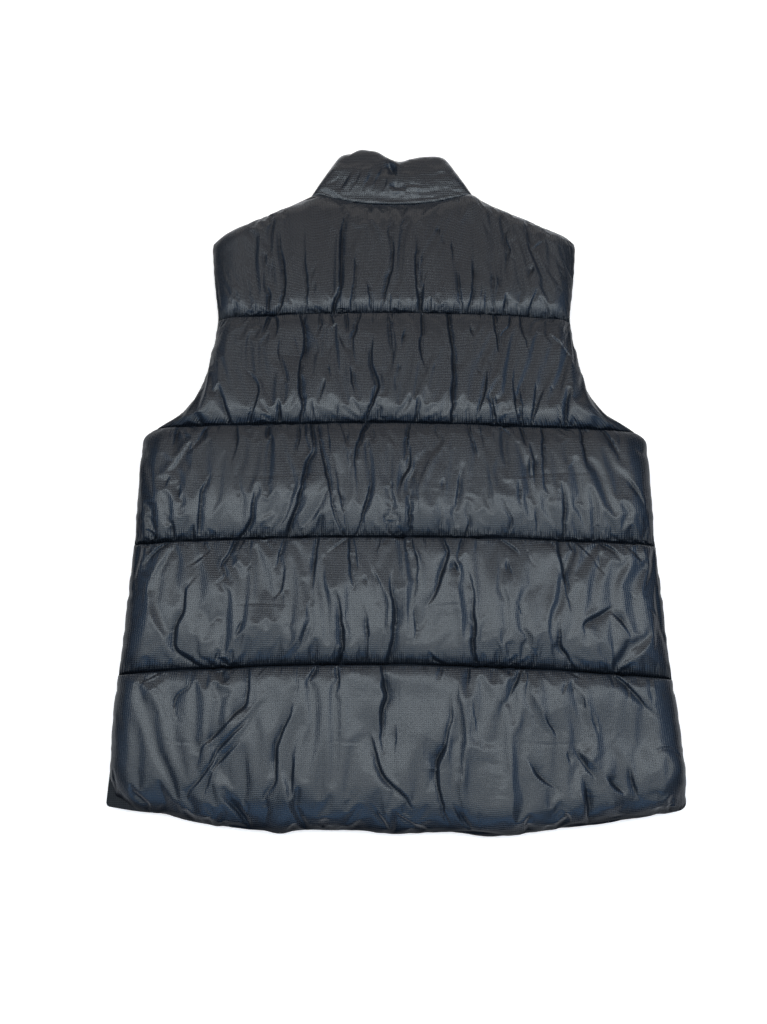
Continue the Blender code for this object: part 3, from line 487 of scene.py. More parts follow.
def settle(points, spare, hold, bend, push):
    """The cloth drawn in to its panel: it starts wider than the panel, its edges are gathered to the
    seams, and it buckles into upright folds along the creases it already has. Its filling, a weak
    spring at each point, holds it back."""
    rows, columns = points.shape[:2]
    quads, rim = grid_faces(rows, columns)
    wide = points.reshape(-1, 3).copy()
    wide[:, 0] *= 1 + spare
    wide[:, 0] += 0.0010 * cloud(wide[:, 0], wide[:, 1], 0.040, 0.060, 3)
    mesh = bpy.data.meshes.new("loose_cloth")
    mesh.from_pydata(wide.tolist(), [], quads.tolist())
    loose = add_object("loose_cloth", mesh)
    springs = loose.vertex_groups.new(name="springs")
    springs.add(list(range(rows * columns)), hold, "REPLACE")
    springs.add(rim.tolist(), 1.0, "REPLACE")
    loose.shape_key_add(name="as_cut")
    gathered = loose.shape_key_add(name="gathered")
    gathered.data.foreach_set("co", points.reshape(-1, 3).astype(np.float32).ravel())
    for value, moment in ((0.0, 1), (1.0, DRAWN_IN)):
        gathered.value = value
        gathered.keyframe_insert("value", frame=moment)
    cloth = loose.modifiers.new("cloth", "CLOTH")
    how = cloth.settings
    how.quality = 6
    how.mass = 0.002
    how.tension_stiffness = how.compression_stiffness = 15.0
    how.shear_stiffness = 6.0
    how.bending_stiffness = bend
    how.tension_damping = how.compression_damping = how.shear_damping = 2.0
    how.bending_damping = 0.5
    how.air_damping = 1.0
    how.vertex_group_mass = "springs"
    how.pin_stiffness = 1.0
    how.effector_weights.gravity = 0.0
    how.use_pressure = True
    how.uniform_pressure_force = push
    cloth.collision_settings.use_collision = False
    cloth.point_cache.frame_start, cloth.point_cache.frame_end = 1, SETTLED
    scene = bpy.context.scene
    for moment in range(1, SETTLED + 1):
        scene.frame_set(moment)
    ready = loose.evaluated_get(bpy.context.evaluated_depsgraph_get())
    out = np.empty(rows * columns * 3, np.float32)
    ready.to_mesh().vertices.foreach_get("co", out)
    scene.frame_set(1)
    bpy.data.objects.remove(loose)
    return out.reshape(rows, columns, 3).astype(float)


def finer(points):
    """The grid with a point added between each two, on the smooth surface through them."""
    for axis in (0, 1):
        points = np.moveaxis(points, axis, 0)
        before = np.concatenate((2 * points[:1] - points[1:2], points[:-2]))
        after = np.concatenate((points[2:], 2 * points[-1:] - points[-2:-1]))
        between = (9 * (points[:-1] + points[1:]) - before - after) / 16
        out = np.empty((2 * len(points) - 1, *points.shape[1:]))
        out[0::2], out[1::2] = points, between
        points = np.moveaxis(out, 0, axis)
    return points


def main_creases(number, low_y, high_y):
    """The panel's own creases, as broad soft troughs and as narrow sharp valleys: for each its line, half
    width, depth, how much of its two ends fades out, and a seed."""
    node, crown = PANELS[number][:2]
    broad, narrow = [], []
    for k, (depth, half_wide, *places) in enumerate(CREASES[node]):
        across, down_at = np.array(places[0::2], float), np.array(places[1::2], float)
        line_x, line_y = lying_at(across, down_at, BACK_INSIDE + crown * 0.92)
        line, long = line_through(np.stack((line_x, line_y), 1), 0.0014)
        gaps = abs(high_y - line[0, 1]), abs(low_y - line[-1, 1])
        fades = [0.0 if gap < 0.016 else share for gap, share in zip(gaps, (0.35, 0.5))]
        for end in (0, 1):
            line = line if fades[end] else run_on(line, end)
        if number == 0:
            fades[1] = 0.4
        seed = 1000 * number + k
        if depth < 0:
            wide = half_wide * 0.0012
            broad.append((line, wide, wide * (0.10 * depth - 0.15), (0.4, 0.4), seed))
            continue
        for kind, share, most in ((broad, 0.0006, 0.32), (narrow, 0.00036, 0.85)):
            wide = max(min(half_wide, 5.0) * share, 0.0011)
            wide = min(wide, max(long / 9, 0.0011))
            deep = wide * (0.66 + 0.17 * depth) * min(depth, 1) * most
            if depth >= 1 or kind is narrow:
                kind.append((line, wide, deep, fades, seed))
    return broad, narrow


def pleats(seam, half, sign, pitch, draw):
    """Small pleats that a gathered seam sends into the panel, in the form of the main creases."""
    made = []
    at = -half + 0.012
    while at < half - 0.012:
        at += pitch * draw.uniform(0.4, 1.7)
        long = 0.007 + 0.034 * draw.uniform(0, 1) ** 3
        wide = draw.uniform(0.0011, 0.0021) * (0.8 + 8 * long)
        lean = draw.uniform(-0.25, 0.25)
        turn = draw.uniform(-0.0025, 0.0025)
        start_y = float(seam_y(seam, at / half))
        places = [(at, start_y), (at + lean * long * 0.5 + turn, start_y + sign * long * 0.5)]
        places.append((at + lean * long, start_y + sign * long))
        line = line_through(places, 0.0010)[0]
        made.append((line, wide, wide * draw.uniform(0.3, 0.7), (0.0, 0.8), int(draw.integers(90000))))
    return made


def pinches(across, half, away, pitch, reach, most, draw):
    """Fine pinches of uneven size along a seam, which hold the filling back."""
    pinch = np.zeros_like(across)
    at = -half
    while at < half:
        at += pitch * draw.uniform(0.5, 1.5)
        size = draw.uniform(0.1, 1.0) ** 2
        long = reach * (0.6 + 1.6 * size)
        wide = pitch * (0.26 + 0.20 * size) * (1 + away / long * 0.6)
        place = at + draw.uniform(-0.3, 0.3) * away
        held = np.exp(-np.abs((across - place) / wide) ** 1.7 - (away / long) ** 1.5)
        pinch += most * (0.35 + 0.4 * size) * held
    return pinch


def back_panel(number):
    node, crown, (low_roll, high_roll), (low_share, high_share), columns, rows = PANELS[number]
    lowest, highest = number == 0, number == len(PANELS) - 1
    low_seam = HEM if lowest else CROSS_SEAMS[number - 1]
    high_seam = None if highest else CROSS_SEAMS[number]
    low_edge_y = float(seam_y(low_seam, 1))
    high_edge_y = SHOULDER_TIP_Y if highest else float(seam_y(high_seam, 1))
    half = float(through(SIDE, (low_edge_y + high_edge_y) / 2))

    # Outline, and the height of the smooth pillow
    s = np.tile(2 * spread(2 * half, SIDE_ROLL, SIDE_ROLL, columns) - 1, (rows, 1))
    to_side = (1 - np.abs(s)) * half
    low_y = seam_y(low_seam, s) + (0 if lowest else SEAM_GAP / 2)
    if highest:
        high_x = column_x(s, high_edge_y)
        high_y = through(BACK_TOP, np.abs(high_x)) - droop(high_x) - SEAM_GAP / 2
    else:
        high_y = seam_y(high_seam, s) - SEAM_GAP / 2
    if lowest:
        low_y = low_y + through(HEM_WAVES, column_x(s, low_edge_y))
        low_y = low_y + 0.0008 * cloud(s * half, 0 * s, 0.009, 1.0, 77)
        corner = np.where(s < 0, *HEM_CORNERS)
        low_y = low_y + corner * (1 - swell(to_side, corner))
    tall = high_y - low_y
    middle_tall = float(tall[0, columns // 2])
    v = np.tile(spread(middle_tall, low_roll, high_roll, rows)[:, None], (1, columns))
    x = column_x(s, mix(low_edge_y, high_edge_y, v))
    y = mix(low_y, high_y, v)
    up, down = v * tall, (1 - v) * tall
    x = x + bow(x, y)
    uneven = 0.0009 * cloud(y, 0 * y, 0.008, 1.0, 31 + number)
    uneven = uneven + 0.0007 * cloud(y, 0 * y, 0.021, 1.0, 36 + number)
    x = x + np.sign(s) * uneven * np.abs(s) ** 24 * ease(np.minimum(up, down) / 0.012)
    at_neck = ease((NECK_HALF - np.abs(x)) / 0.014) if highest else np.ones_like(x)
    side_roll = SIDE_ROLL * (1 + 0.4 * ease(s * 2) * cloud(0 * y, y, 1.0, 0.035, 23))
    side = swell(to_side, side_roll)
    if lowest:
        over = swell(up, low_roll * (1 - 0.35 * ease(x / 0.12)))
    else:
        over = plump(up, low_roll, low_share)
    if highest:
        over *= swell(down, mix(high_roll, NECK_ROLL, at_neck))
    else:
        over *= plump(down, high_roll, high_share)
    low_wall = EDGE_WALL if lowest else SEAM_WALL
    edge = mix(EDGE_WALL, mix(low_wall, mix(EDGE_WALL, SEAM_WALL, at_neck), v), side)
    rise = side * over
    body = (crown - edge) * rise

    # Broad troughs, pressed in where the padding is deep enough to take them, and soft lumps
    middle = columns // 2
    broad, narrow = main_creases(number, float(low_y[0, middle]), float(high_y[0, middle]))
    fold = np.zeros_like(x)
    for crease in broad:
        press(x, y, fold, *crease)
    stand = ease(body / 0.009)
    lumps = 0.0016 * cloud(x, y, 0.045, 0.040, 7 + number) + 0.0007 * cloud(x, y, 0.014, 0.040, 17 + number)
    height = edge + np.maximum(body + stand * (fold + lumps), 0.0)
    if lowest:
        x, y = tuck(x, y)
    start = np.stack((x, y, BACK_INSIDE + height), -1)
    moved = settle(start, *LOOSE[number]) - start
    far = np.linalg.norm(moved, axis=-1, keepdims=True)
    start = start + moved * np.minimum(1.0, MOST_MOVED / np.maximum(far, 1e-6))
    grid = finer(start)
    x, y, s, v, tall, body = (finer(flat[..., None])[..., 0] for flat in (x, y, s, v, tall, body))
    up, down = v * tall, (1 - v) * tall

    # Narrow creases and small pleats
    draw = np.random.default_rng(40 + number)
    if not lowest:
        narrow += pleats(low_seam, half, 1, 0.0110, draw)
    if not highest:
        narrow += pleats(high_seam, half, -1, 0.0200, draw)
    fold = np.zeros_like(x)
    for crease in narrow:
        press(x, y, fold, *crease)
    fold = np.where(fold > 0, fold * ease(body / 0.013), fold)
    grid[..., 2] += ease(body / 0.005) * np.maximum(fold, -0.5 * body)

    # Gathers along both seams
    pinch = np.zeros_like(s)
    if not lowest:
        pinch += pinches(s * half, half, up, 0.0030, 0.0040, 1.0, draw)
    if not highest:
        pinch += pinches(s * half, half, down, 0.0050, 0.0025, 0.4, draw)
    grid[..., 2] -= 0.0023 * np.clip(pinch, 0, 0.8) * ease(body / 0.003)
    grid[..., 2] = np.clip(grid[..., 2], BACK_INSIDE + EDGE_WALL * 0.8, BACK_INSIDE + crown + 0.0035)

    # Marks for the material: painted shade, and where the cloth is gathered
    gathered = np.exp(-((up / 0.0075) ** 1.6)) * (not lowest)
    gathered = gathered + 0.5 * np.exp(-((down / 0.006) ** 1.3)) * (not highest)
    # Painted shade: dark bands along both side rolls, fading out 25 mm in from the sides
    painted_shade = 0.9 * (1 - ease((1 - np.abs(s)) * half / 0.025))
    # Painted shade along the hem: darker towards the left, and darkest in the last few millimetres of the
    # rolled rim
    if lowest:
        painted_shade = np.maximum(painted_shade, (0.9 - 0.6 * ease(s * 3)) * (1 - ease(up / 0.020)))
        painted_shade = np.maximum(painted_shade, 1.3 * (1 - ease((up - 0.002) / 0.012)))
    # Painted shade in the hollows of the folds, where a point lies below the points round it
    painted_shade = np.maximum(sunk(grid[..., 2], 2, 0.0015 if number < 2 else 0.0011), painted_shade)
    cloth = np.stack((s * half * 1.08, (v - 0.5) * middle_tall * 1.12 + number * 0.2), -1)
    marks = (("painted_shade", painted_shade), ("gathered", gathered))
    piece = closed_panel("padded_" + node, grid, BACK_INSIDE, cloth, marks)
    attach(piece, "vest")
    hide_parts(node)
    return piece


class Sock:
    """A number or colour that a material works out at each point of a surface."""

    tree = None

    def __init__(self, socket):
        self.socket = socket

    @classmethod
    def node(cls, kind, settings=(), inputs=(), out=0):
        made = cls.tree.nodes.new(kind)
        for name, value in dict(settings).items():
            setattr(made, name, value)
        for name, value in dict(inputs).items():
            if isinstance(value, cls):
                cls.tree.links.new(value.socket, made.inputs[name])
            else:
                made.inputs[name].default_value = value
        return cls(made.outputs[out])

    def maths(self, operation, *others):
        return Sock.node("ShaderNodeMath", {"operation": operation}, dict(enumerate((self, *others))))

    def feed(self, node, name):
        self.tree.links.new(self.socket, node.inputs[name])

    def __add__(self, other):
        return self.maths("ADD", other)

    def __sub__(self, other):
        return self.maths("SUBTRACT", other)

    def __rsub__(self, other):
        return Sock.node("ShaderNodeMath", {"operation": "SUBTRACT"}, {0: other, 1: self})

    def __mul__(self, other):
        return self.maths("MULTIPLY", other)

    __radd__, __rmul__ = __add__, __mul__


def new_material(name):
    """A material that the Socks made after it go into, and its shader."""
    material = bpy.data.materials.new(name)
    material.use_nodes = True
    Sock.tree = material.node_tree
    return material, material.node_tree.nodes["Principled BSDF"]


def blend_colour(share, low, high):
    """A colour between two, by a share from 0 to 1."""
    return Sock.node("ShaderNodeMix", {"data_type": "RGBA"}, {0: share, 6: low, 7: high}, 2)


def smooth_step(value, low, high):
    """0 below the low value, 1 above the high one."""
    return Sock.node("ShaderNodeMapRange", {"interpolation_type": "SMOOTHSTEP"}, {0: value, 1: low, 2: high})


def noise(place, scale, detail, **more):
    return Sock.node("ShaderNodeTexNoise", (), {"Vector": place, "Scale": scale, "Detail": detail, **more})


def bump(relief, strength, deep):
    return Sock.node("ShaderNodeBump", (), {"Height": relief, "Strength": strength, "Distance": deep})


def ridge(value, pitch, wide):
    """1 on thin lines a pitch apart, fading to 0 within the width."""
    place = (value * (1 / pitch)).maths("FRACT")
    return smooth_step((place - 0.5).maths("ABSOLUTE"), 0.5 - wide / pitch, 0.5)


def satin_nylon():
    """Navy ripstop: a grid of thicker threads in a satin face, slightly crinkled, with a fine comb of
    gathers at the seams. Painted shade: where the mark of painted shade is high, and in lines between the
    gathers, the cloth is mixed towards an unlit dark matt shader, standing in for the shade that falls
    there."""
    material, shader = new_material("satin_ripstop_nylon")
    cloth = Sock.node("ShaderNodeUVMap", {"uv_map": "cloth"})
    place = Sock.node("ShaderNodeTexCoord", out=3)
    u, v = (Sock.node("ShaderNodeSeparateXYZ", (), {0: cloth}, out) for out in (0, 1))
    marks = ("painted_shade", "gathered")
    painted_shade, gathered = (Sock.node("ShaderNodeAttribute", {"attribute_name": mark}, (), 2) for mark in marks)
    lines = (ridge(u, 0.0022, 0.0005) * 0.9).maths("MAXIMUM", ridge(v, 0.0022, 0.0006))
    yarn = noise(place, 800.0, 2.0)
    patches = noise(place, 14.0, 3.0, Roughness=0.6)
    upright = Sock.node("ShaderNodeMapping", (), {"Vector": cloth, "Scale": (1.0, 0.22, 1.0)})
    crinkles = noise(upright, 170.0, 2.0, Roughness=0.5)
    pleated = smooth_step(noise(upright, 330.0, 1.0, Distortion=0.4), 0.38, 0.60)
    comb = (u * (2 * math.pi / 0.0026) + patches * 9.0).maths("SINE") * 0.5 + 0.5
    navy = blend_colour(patches, (0.0032, 0.0058, 0.0105, 1), (0.0048, 0.0080, 0.0130, 1))
    blend_colour(lines, navy, (0.015, 0.019, 0.026, 1)).feed(shader, "Base Color")
    rough = patches * 0.08 + yarn * 0.08 + lines * 0.06 + gathered * 0.05 + 0.185
    rough.feed(shader, "Roughness")
    (lines * 0.32 + yarn * 0.12).feed(shader, "Coat Weight")
    shader.inputs["Coat Roughness"].default_value = 0.22
    shader.inputs["Specular IOR Level"].default_value = 0.5
    shader.inputs["Sheen Weight"].default_value = 0.06
    shader.inputs["Sheen Roughness"].default_value = 0.45
    shader.inputs["Sheen Tint"].default_value = (0.42, 0.52, 0.70, 1)
    relief = lines * 0.16 + yarn * 0.04 + crinkles * 0.34 + gathered * (pleated * 0.7 + comb * 1.4)
    bump(relief, 0.6, 0.0012).feed(shader, "Normal")
    # Painted shade: an unlit dark shader, mixed in by the mark of painted shade and in dark lines between
    # the comb of gathers
    dark = {"Base Color": (0.0022, 0.0031, 0.0052, 1), "Roughness": 0.9, "Specular IOR Level": 0.0}
    unlit = Sock.node("ShaderNodeBsdfPrincipled", (), dark)
    shadow = (painted_shade * 0.66).maths("MAXIMUM", gathered * (1 - comb) * 0.55)
    whole = Sock.node("ShaderNodeMixShader", (), {0: shadow, 1: Sock(shader.outputs[0]), 2: unlit})
    whole.feed(material.node_tree.nodes["Material Output"], "Surface")
    return material


shell = satin_nylon()
for number in range(len(PANELS)):
    back_panel(number).data.materials.append(shell)

# --- Fronts --------------------------------------------------------------------------------------------
# Two padded fronts lie underneath, face down. Their outer faces are flat on the table and roll up to the
# side seams, and four lines of quilting are sunk into them at the heights of the back's cross seams.

FRONT_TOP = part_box("front_left")[1].z
FRONT_NECK = (
    # x, y
    (0.000, 0.2835), (0.030, 0.2850), (0.050, 0.2910), (0.068, 0.3030), (0.081, 0.3190), (0.090, 0.3390),
)
SHOULDER_BLEND = 0.008
ZIP_HALF = 0.0125
FRONT_SIDE_ROLL, FRONT_ZIP_ROLL, FRONT_END_ROLL = 0.028, 0.012, 0.022
FRONT_COLUMNS, FRONT_ROWS = 96, 256


def front_top_y(x):
    reach = np.abs(x)
    neck_end, neck_y = FRONT_NECK[-1]
    beyond = mix(neck_y, through(BACK_TOP, reach), ease((reach - neck_end) / SHOULDER_BLEND))
    return np.where(reach < neck_end, through(FRONT_NECK, np.minimum(reach, neck_end)), beyond)


def front(node, side):
    low_edge_y = float(seam_y(HEM, 1))
    wide = SHOULDER_HALF - ZIP_HALF
    share = np.tile(spread(wide, FRONT_ZIP_ROLL, FRONT_SIDE_ROLL, FRONT_COLUMNS), (FRONT_ROWS, 1))
    tall_side = SHOULDER_TIP_Y - low_edge_y
    v = np.tile(spread(tall_side, FRONT_END_ROLL, FRONT_END_ROLL, FRONT_ROWS)[:, None], (1, FRONT_COLUMNS))
    edge_y = mix(low_edge_y, SHOULDER_TIP_Y, v)
    s = mix(ZIP_HALF / SHOULDER_HALF, 1.0, share)
    at_zip = column_x(np.full_like(s, ZIP_HALF / SHOULDER_HALF), edge_y)
    x = column_x(s, edge_y) + (ZIP_HALF + SEAM_GAP - at_zip) * (1 - share)
    x = x + side * bow(side * x, edge_y)
    low = seam_y(HEM, side * x / float(through(SIDE, low_edge_y)))
    low = low + np.maximum(through(HEM_WAVES, side * x), 0) + 0.0006
    high_x = column_x(s, np.full_like(s, SHOULDER_TIP_Y))
    high = front_top_y(high_x) - droop(side * high_x) - SEAM_GAP / 2
    corner = HEM_CORNERS[side > 0]
    low = low + corner * (1 - swell((1 - share) * wide, 0.7 * corner))
    y = mix(low, high, v)
    quilt = sum(np.exp(-np.abs((y - seam_y(seam, side * s)) / 0.0042) ** 1.4) for seam in CROSS_SEAMS)
    pucker = 0.75 + 0.25 * cloud(x * side, y, 0.0036, 0.020, 90 + side)
    roll = FRONT_SIDE_ROLL * (1 + 0.6 * quilt + 0.16 * cloud(x * 0, y, 1.0, 0.011, 95 + side))
    flat = swell((1 - share) * wide, roll) * swell(share * wide, FRONT_ZIP_ROLL)
    flat *= swell(y - low, FRONT_END_ROLL) * swell(high - y, FRONT_END_ROLL)
    lift = (FRONT_TOP - EDGE_WALL) * (1 - flat) + 0.0052 * quilt * pucker * flat
    lumps = np.maximum(cloud(x * side, y, 0.012, 0.030, 97 + side), 0)
    lift += 0.0006 * lumps * ease((lift - 0.0004) / 0.003)
    outer = np.stack((side * x, y, np.clip(lift, 0.0, FRONT_TOP - EDGE_WALL * 0.7)), -1)
    cloth = np.stack((side * x, y), -1)
    # Painted shade: the fronts' whole outer face carries a high mark of painted shade, so it is mixed far
    # towards the unlit dark shader
    piece = closed_panel("padded_" + node, outer, FRONT_TOP, cloth, (("painted_shade", np.full(y.shape, 1.1)),))
    if side > 0:
        piece.data.flip_normals()
    piece.data.materials.append(shell)
    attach(piece, "vest")
    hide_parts(node)


front("front_left", -1)
front("front_right", 1)

# --- Collar --------------------------------------------------------------------------------------------
# A padded stand collar, one band sewn round the neck. Its back half has fallen over its front halves, so
# it is folded at both sides of the neck, with a dip in its upper edge and a flattened band at its foot.

COLLAR_BASE_HALF, COLLAR_TOP_HALF = 0.0985, 0.0640
COLLAR_FOLD, COLLAR_SLIT = 0.0150, 0.0010
COLLAR_INSIDE_TOP, COLLAR_SWELL = 0.0095, 0.0145
COLLAR_BASE_ROLL, COLLAR_TOP_ROLL = 0.040, 0.012
COLLAR_HEIGHT, COLLAR_HEIGHT_FRONT = 0.065, 0.055
COLLAR_TOP = (
    # share of the half width, y
    (-1.00, 0.4025), (-0.85, 0.4082), (-0.55, 0.4075), (-0.40, 0.4060), (-0.17, 0.3985), (0.12, 0.3925),
    (0.40, 0.3955), (0.70, 0.3985), (1.00, 0.3995),
)
COLLAR_COLUMNS = (34, 14, 90)  # front layer, fold, half of the back layer
COLLAR_ROWS = 52
CREASES["collar"] = (
    (5, 4, 386, 157, 391, 167, 397, 178), (4, 3, 316, 188, 328, 192, 342, 201),
    (3, 2.2, 474, 194, 464, 191, 450, 189), (4, 3, 389, 186, 398, 187, 407, 189),
    (4, 2.6, 406, 186, 414, 185, 425, 187), (2, 2.2, 337, 191, 345, 181, 352, 171),
    (2, 2.2, 348, 192, 356, 180, 363, 168), (2, 2.2, 360, 192, 368, 180, 374, 166),
    (2, 2.2, 371, 190, 378, 178, 383, 168), (2, 2, 381, 193, 385, 183, 388, 173),
    (1, 2, 326, 184, 336, 180, 344, 172), (1, 2, 430, 178, 442, 174, 452, 177),
    (1, 2, 420, 172, 432, 168, 440, 160), (2, 2.4, 350, 196, 375, 197, 400, 198, 430, 196, 455, 192),
    (1, 1.8, 405, 192, 430, 191, 446, 188),
)


def collar():
    front_count, fold_count, back_count = COLLAR_COLUMNS
    share = (np.linspace(0, 1, front_count), np.ones(fold_count), np.linspace(1, 0, back_count))
    share = np.concatenate(share)
    turn = (np.arange(fold_count) + 0.5) / fold_count * math.pi
    angle = np.concatenate((np.zeros(front_count), turn, np.full(back_count, math.pi)))
    side = np.concatenate((-np.ones(len(share)), np.ones(len(share) - 1)))
    share = np.concatenate((share, share[-2::-1]))
    angle = np.concatenate((angle, angle[-2::-1]))
    v = spread(COLLAR_HEIGHT, COLLAR_BASE_ROLL, COLLAR_TOP_ROLL, COLLAR_ROWS)[:, None]
    reach = mix(COLLAR_BASE_HALF, COLLAR_TOP_HALF, v) - COLLAR_FOLD
    along = np.where(angle == 0, mix((ZIP_HALF + SEAM_GAP) / reach, 1.0, share), share)
    stretch = 1 + 0.050 * share * (side < 0)
    base_x = (share * (COLLAR_BASE_HALF - COLLAR_FOLD) + np.sin(angle) * COLLAR_FOLD) * stretch
    behind = angle > math.pi / 2
    low = np.where(behind, through(BACK_TOP, base_x), front_top_y(base_x)) + SEAM_GAP / 2
    high = np.where(behind, through(COLLAR_TOP, side * share), low + COLLAR_HEIGHT_FRONT)
    y = mix(low, high, v)
    up, down = v * (high - low), (1 - v) * (high - low)
    meet = mix(FRONT_TOP + SEAM_GAP / 2, COLLAR_INSIDE_TOP, ease(v)) + 0 * y
    x = side * (along * reach + np.sin(angle) * COLLAR_FOLD) * stretch
    base = 0.12 * swell(up, 0.003) + 0.88 * (1 - (1 - np.clip(up / COLLAR_BASE_ROLL, 0, 1)) ** 1.5)
    rise = base * swell(down, COLLAR_TOP_ROLL)
    foot = 0.10 * ease(1 - np.abs(up - 0.006) / 0.012)
    edge = mix(SEAM_WALL, EDGE_WALL, v)
    fold = np.zeros_like(y)
    for k, (depth, half_wide, *places) in enumerate(CREASES["collar"]):
        line_x, line_y = lying_at(np.array(places[0::2], float), np.array(places[1::2], float), 0.024)
        line = line_through(np.stack((line_x, line_y), 1), 0.0010)[0]
        wide = half_wide * 0.0010
        deep = math.copysign(wide * (0.12 + 0.25 * abs(depth)), depth)
        press(x, y, fold, line, wide, deep, (0.4, 0.4), 7000 + k)
    fold[:, ~behind] = 0
    uneven = 0.0006 * cloud(x, y, 0.013, 0.010, 61) + 0.0003 * cloud(x, y, 0.006, 0.004, 62)
    crown = (COLLAR_SWELL - edge) * rise * (1 - foot)
    above = edge + np.maximum(crown + ease(rise / 0.6) * (fold + uneven), 0)
    below = edge + (meet - edge) * swell(up, 0.012) * swell(down, 0.010)
    z = meet - np.cos(angle) * np.where(behind, above, below)
    outer = np.stack((x, y, np.maximum(z, 0.0004)), -1).reshape(-1, 3)
    inner_x = side * (along * reach + np.sin(angle) * COLLAR_SLIT) * stretch
    inner = np.stack((inner_x, y, meet - np.cos(angle) * SEAM_GAP / 2), -1).reshape(-1, 3)

    grid, rim = grid_faces(*y.shape)
    shift = y.size
    after = np.roll(rim, -1)
    walls = np.stack((rim, rim + shift, after + shift, after), -1)
    faces = np.concatenate((grid, grid[:, ::-1] + shift, walls))
    middle = len(y) // 2
    run = np.cumsum(np.concatenate(([0], np.hypot(np.diff(x[middle]), np.diff(z[middle])))))
    pattern = np.tile(np.stack((run + 0 * y, y), -1).reshape(-1, 2), (2, 1))
    piece = cloth_piece("padded_collar", np.concatenate((outer, inner)), faces.tolist(), pattern)
    piece.data.materials.append(shell)
    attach(piece, "vest")
    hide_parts("collar")


collar()

# --- Cross seams ---------------------------------------------------------------------------------------
# A row of lock stitches in navy polyester thread closes each cross seam. The panels puff up on both sides
# of it, so the stitches lie sunk between them.

STITCH_PITCH, STITCH_LONG, THREAD = 0.0030, 0.0024, 0.00026
STITCH_PROFILE = (
    # along the stitch, how thick the thread is there
    (-0.5, 0.25), (-0.42, 0.8), (0.0, 1.0), (0.42, 0.8), (0.5, 0.25),
)
STITCH_SIDES = 5


def stitches(name, seam):
    half = float(through(SIDE, float(seam_y(seam, 1)))) - 0.004
    around = np.linspace(0, 2 * math.pi, STITCH_SIDES, endpoint=False)
    points, faces = [], []
    for middle in np.arange(-half, half, STITCH_PITCH):
        first = len(points)
        for along, fat in STITCH_PROFILE:
            x = middle + along * STITCH_LONG
            y = float(seam_y(seam, x / half))
            x = x + float(bow(x, y))
            for turn in around:
                round_y, round_z = math.cos(turn) * THREAD * fat, math.sin(turn) * THREAD * fat
                points.append((x, y + round_y, BACK_INSIDE + SEAM_WALL + 0.0002 + round_z))
        last = len(points) - STITCH_SIDES
        for ring in range(first, last, STITCH_SIDES):
            for j in range(STITCH_SIDES):
                a, b = ring + j, ring + (j + 1) % STITCH_SIDES
                faces.append((a, b, b + STITCH_SIDES, a + STITCH_SIDES))
        faces.append(tuple(range(first + STITCH_SIDES - 1, first - 1, -1)))
        faces.append(tuple(range(last, last + STITCH_SIDES)))
    mesh = bpy.data.meshes.new(name)
    mesh.from_pydata(points, [], faces)
    mesh.shade_smooth()
    return add_object(name, mesh)


def plain_cloth(name, colour, rough):
    """Thread or woven tape: matt, with fine close ribs."""
    material, shader = new_material(name)
    place = Sock.node("ShaderNodeTexCoord", out=3)
    ribs = {"Vector": place, "Scale": 700.0, "Distortion": 0.6}
    weave = Sock.node("ShaderNodeTexWave", {"bands_direction": "DIAGONAL"}, ribs)
    worn = noise(place, 60.0, 3.0)
    lighter = tuple(value * 1.8 for value in colour[:3]) + (1,)
    blend_colour(weave * 0.5 + worn * 0.3, colour, lighter).feed(shader, "Base Color")
    (worn * 0.12 + rough).feed(shader, "Roughness")
    bump(weave, 0.6, 0.0003).feed(shader, "Normal")
    return material


thread = plain_cloth("navy_thread", (0.006, 0.008, 0.014, 1), 0.6)
for number, seam in enumerate(CROSS_SEAMS):
    row = stitches(f"cross_seam_stitches_{number + 1}", seam)
    row.data.materials.append(thread)
    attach(row, "vest")

# --- Zip -----------------------------------------------------------------------------------------------
# A moulded zip closes the fronts, in the valley between them: two woven tapes with a row of small teeth
# each, a box at the hem and a slider with a hanging pull tab at the collar.

tape_cloth = plain_cloth("navy_zip_tape", (0.010, 0.012, 0.019, 1), 0.72)
for name in ("zip_tape_left", "zip_tape_right"):
    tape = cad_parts[name]
    tape.data.materials.clear()
    tape.data.materials.append(tape_cloth)

TOOTH_PITCH = 0.0027
TOOTH = (
    # out from the middle of the zip, half height along the zip
    (-0.0012, 0.00040), (-0.0006, 0.00062), (0.0004, 0.00050), (0.0030, 0.00078),
)
TOOTH_DEEP = 0.0013
TOOTH_MIDDLE = 0.0009


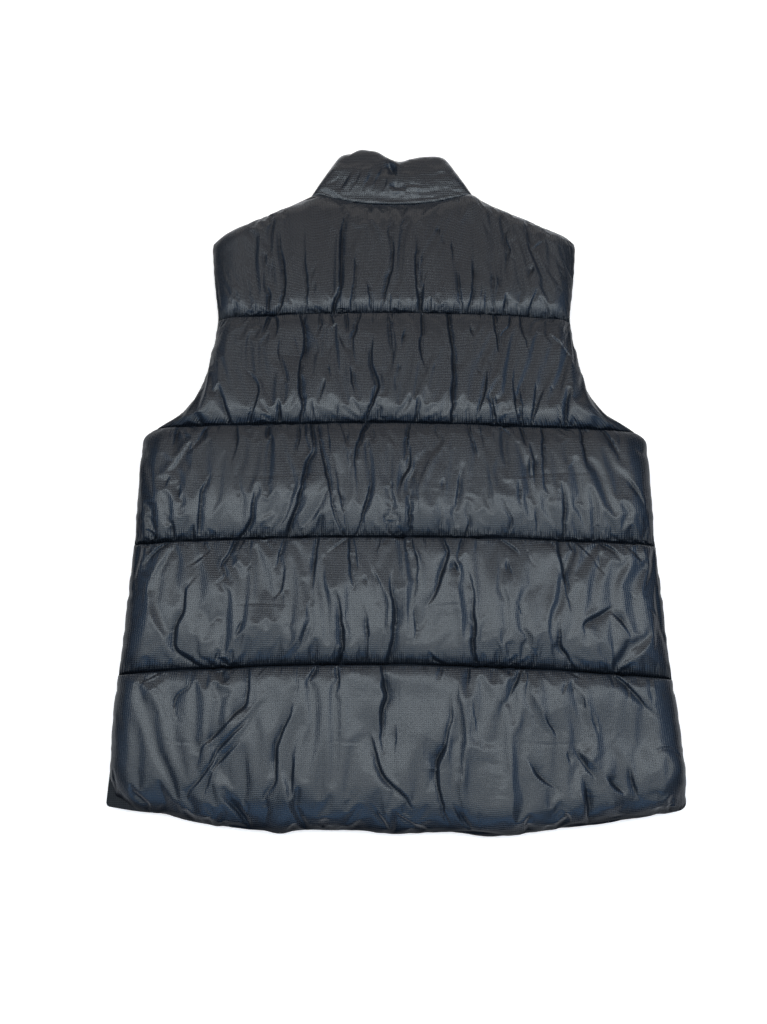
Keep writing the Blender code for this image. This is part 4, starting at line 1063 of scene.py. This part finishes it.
def teeth(name, side):
    low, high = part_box("zip_tape_left")
    slider_low, slider_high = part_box("zip_slider")
    stop_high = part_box("zip_stop")[1]
    top = low.z + 0.0001
    outline = [(out, -tall) for out, tall in TOOTH] + [(out, tall) for out, tall in TOOTH[::-1]]
    count = len(outline)
    points, faces = [], []
    start = low.y + 0.006 + (TOOTH_PITCH / 2 if side > 0 else 0)
    for middle in np.arange(start, high.y - 0.004, TOOTH_PITCH):
        if middle < stop_high.y + 0.001 or slider_low.y - 0.001 < middle < slider_high.y + 0.001:
            continue
        first = len(points)
        for z, shrink in ((top, 1.0), (top - TOOTH_DEEP * 0.75, 1.0), (top - TOOTH_DEEP, 0.72)):
            for out, tall in outline:
                x = side * (TOOTH_MIDDLE + (out - TOOTH_MIDDLE) * shrink)
                points.append((x, middle + tall * shrink, z))
        for layer in (0, count):
            for k in range(count):
                a, b = first + layer + k, first + layer + (k + 1) % count
                faces.append((a, b, b + count, a + count))
        faces.append(tuple(range(first + count - 1, first - 1, -1)))
        faces.append(tuple(range(first + 2 * count, first + 3 * count)))
    if side > 0:
        faces = [face[::-1] for face in faces]
    mesh = bpy.data.meshes.new(name)
    mesh.from_pydata(points, [], faces)
    return add_object(name, mesh)


def coated_metal(name, colour, rough):
    material, shader = new_material(name)
    place = Sock.node("ShaderNodeTexCoord", out=3)
    grain = noise(place, 500.0, 3.0)
    wear = noise(place, 160.0, 5.0)
    lighter = tuple(min(value * 1.6, 1) for value in colour[:3]) + (1,)
    blend_colour(wear, colour, lighter).feed(shader, "Base Color")
    (grain * 0.15 + rough).feed(shader, "Roughness")
    shader.inputs["Metallic"].default_value = 0.85
    bump(grain, 0.15, 0.0002).feed(shader, "Normal")
    return material


moulded = plain_cloth("navy_moulded_teeth", (0.012, 0.014, 0.020, 1), 0.40)
for name, side in (("zip_teeth_left", -1), ("zip_teeth_right", 1)):
    row = teeth(name, side)
    row.data.materials.append(moulded)
    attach(row, "vest")

gunmetal = coated_metal("gunmetal", (0.09, 0.09, 0.10, 1), 0.30)
for name in ("zip_stop", "zip_slider", "zip_pull"):
    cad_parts[name].data.materials.clear()
    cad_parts[name].data.materials.append(gunmetal)

# --- Table ---------------------------------------------------------------------------------------------
# A plain white table top under the vest. It glows faintly and warmly, like a table in a bright room, and
# so lights the rolled edges from below.

TABLE_HALF = 4
corners = [(-TABLE_HALF, -TABLE_HALF, 0), (TABLE_HALF, -TABLE_HALF, 0)]
corners += [(TABLE_HALF, TABLE_HALF, 0), (-TABLE_HALF, TABLE_HALF, 0)]
floor_mesh = bpy.data.meshes.new("table_top")
floor_mesh.from_pydata(corners, [], [(0, 1, 2, 3)])
floor = add_object("table_top", floor_mesh)
floor.location.z = -0.0005
white, table_shader = new_material("white_table")
table_shader.inputs["Base Color"].default_value = (0.93, 0.93, 0.93, 1)
table_shader.inputs["Roughness"].default_value = 0.8
table_shader.inputs["Emission Color"].default_value = (1.0, 0.90, 0.80, 1)
table_shader.inputs["Emission Strength"].default_value = 0.50
floor_mesh.materials.append(white)
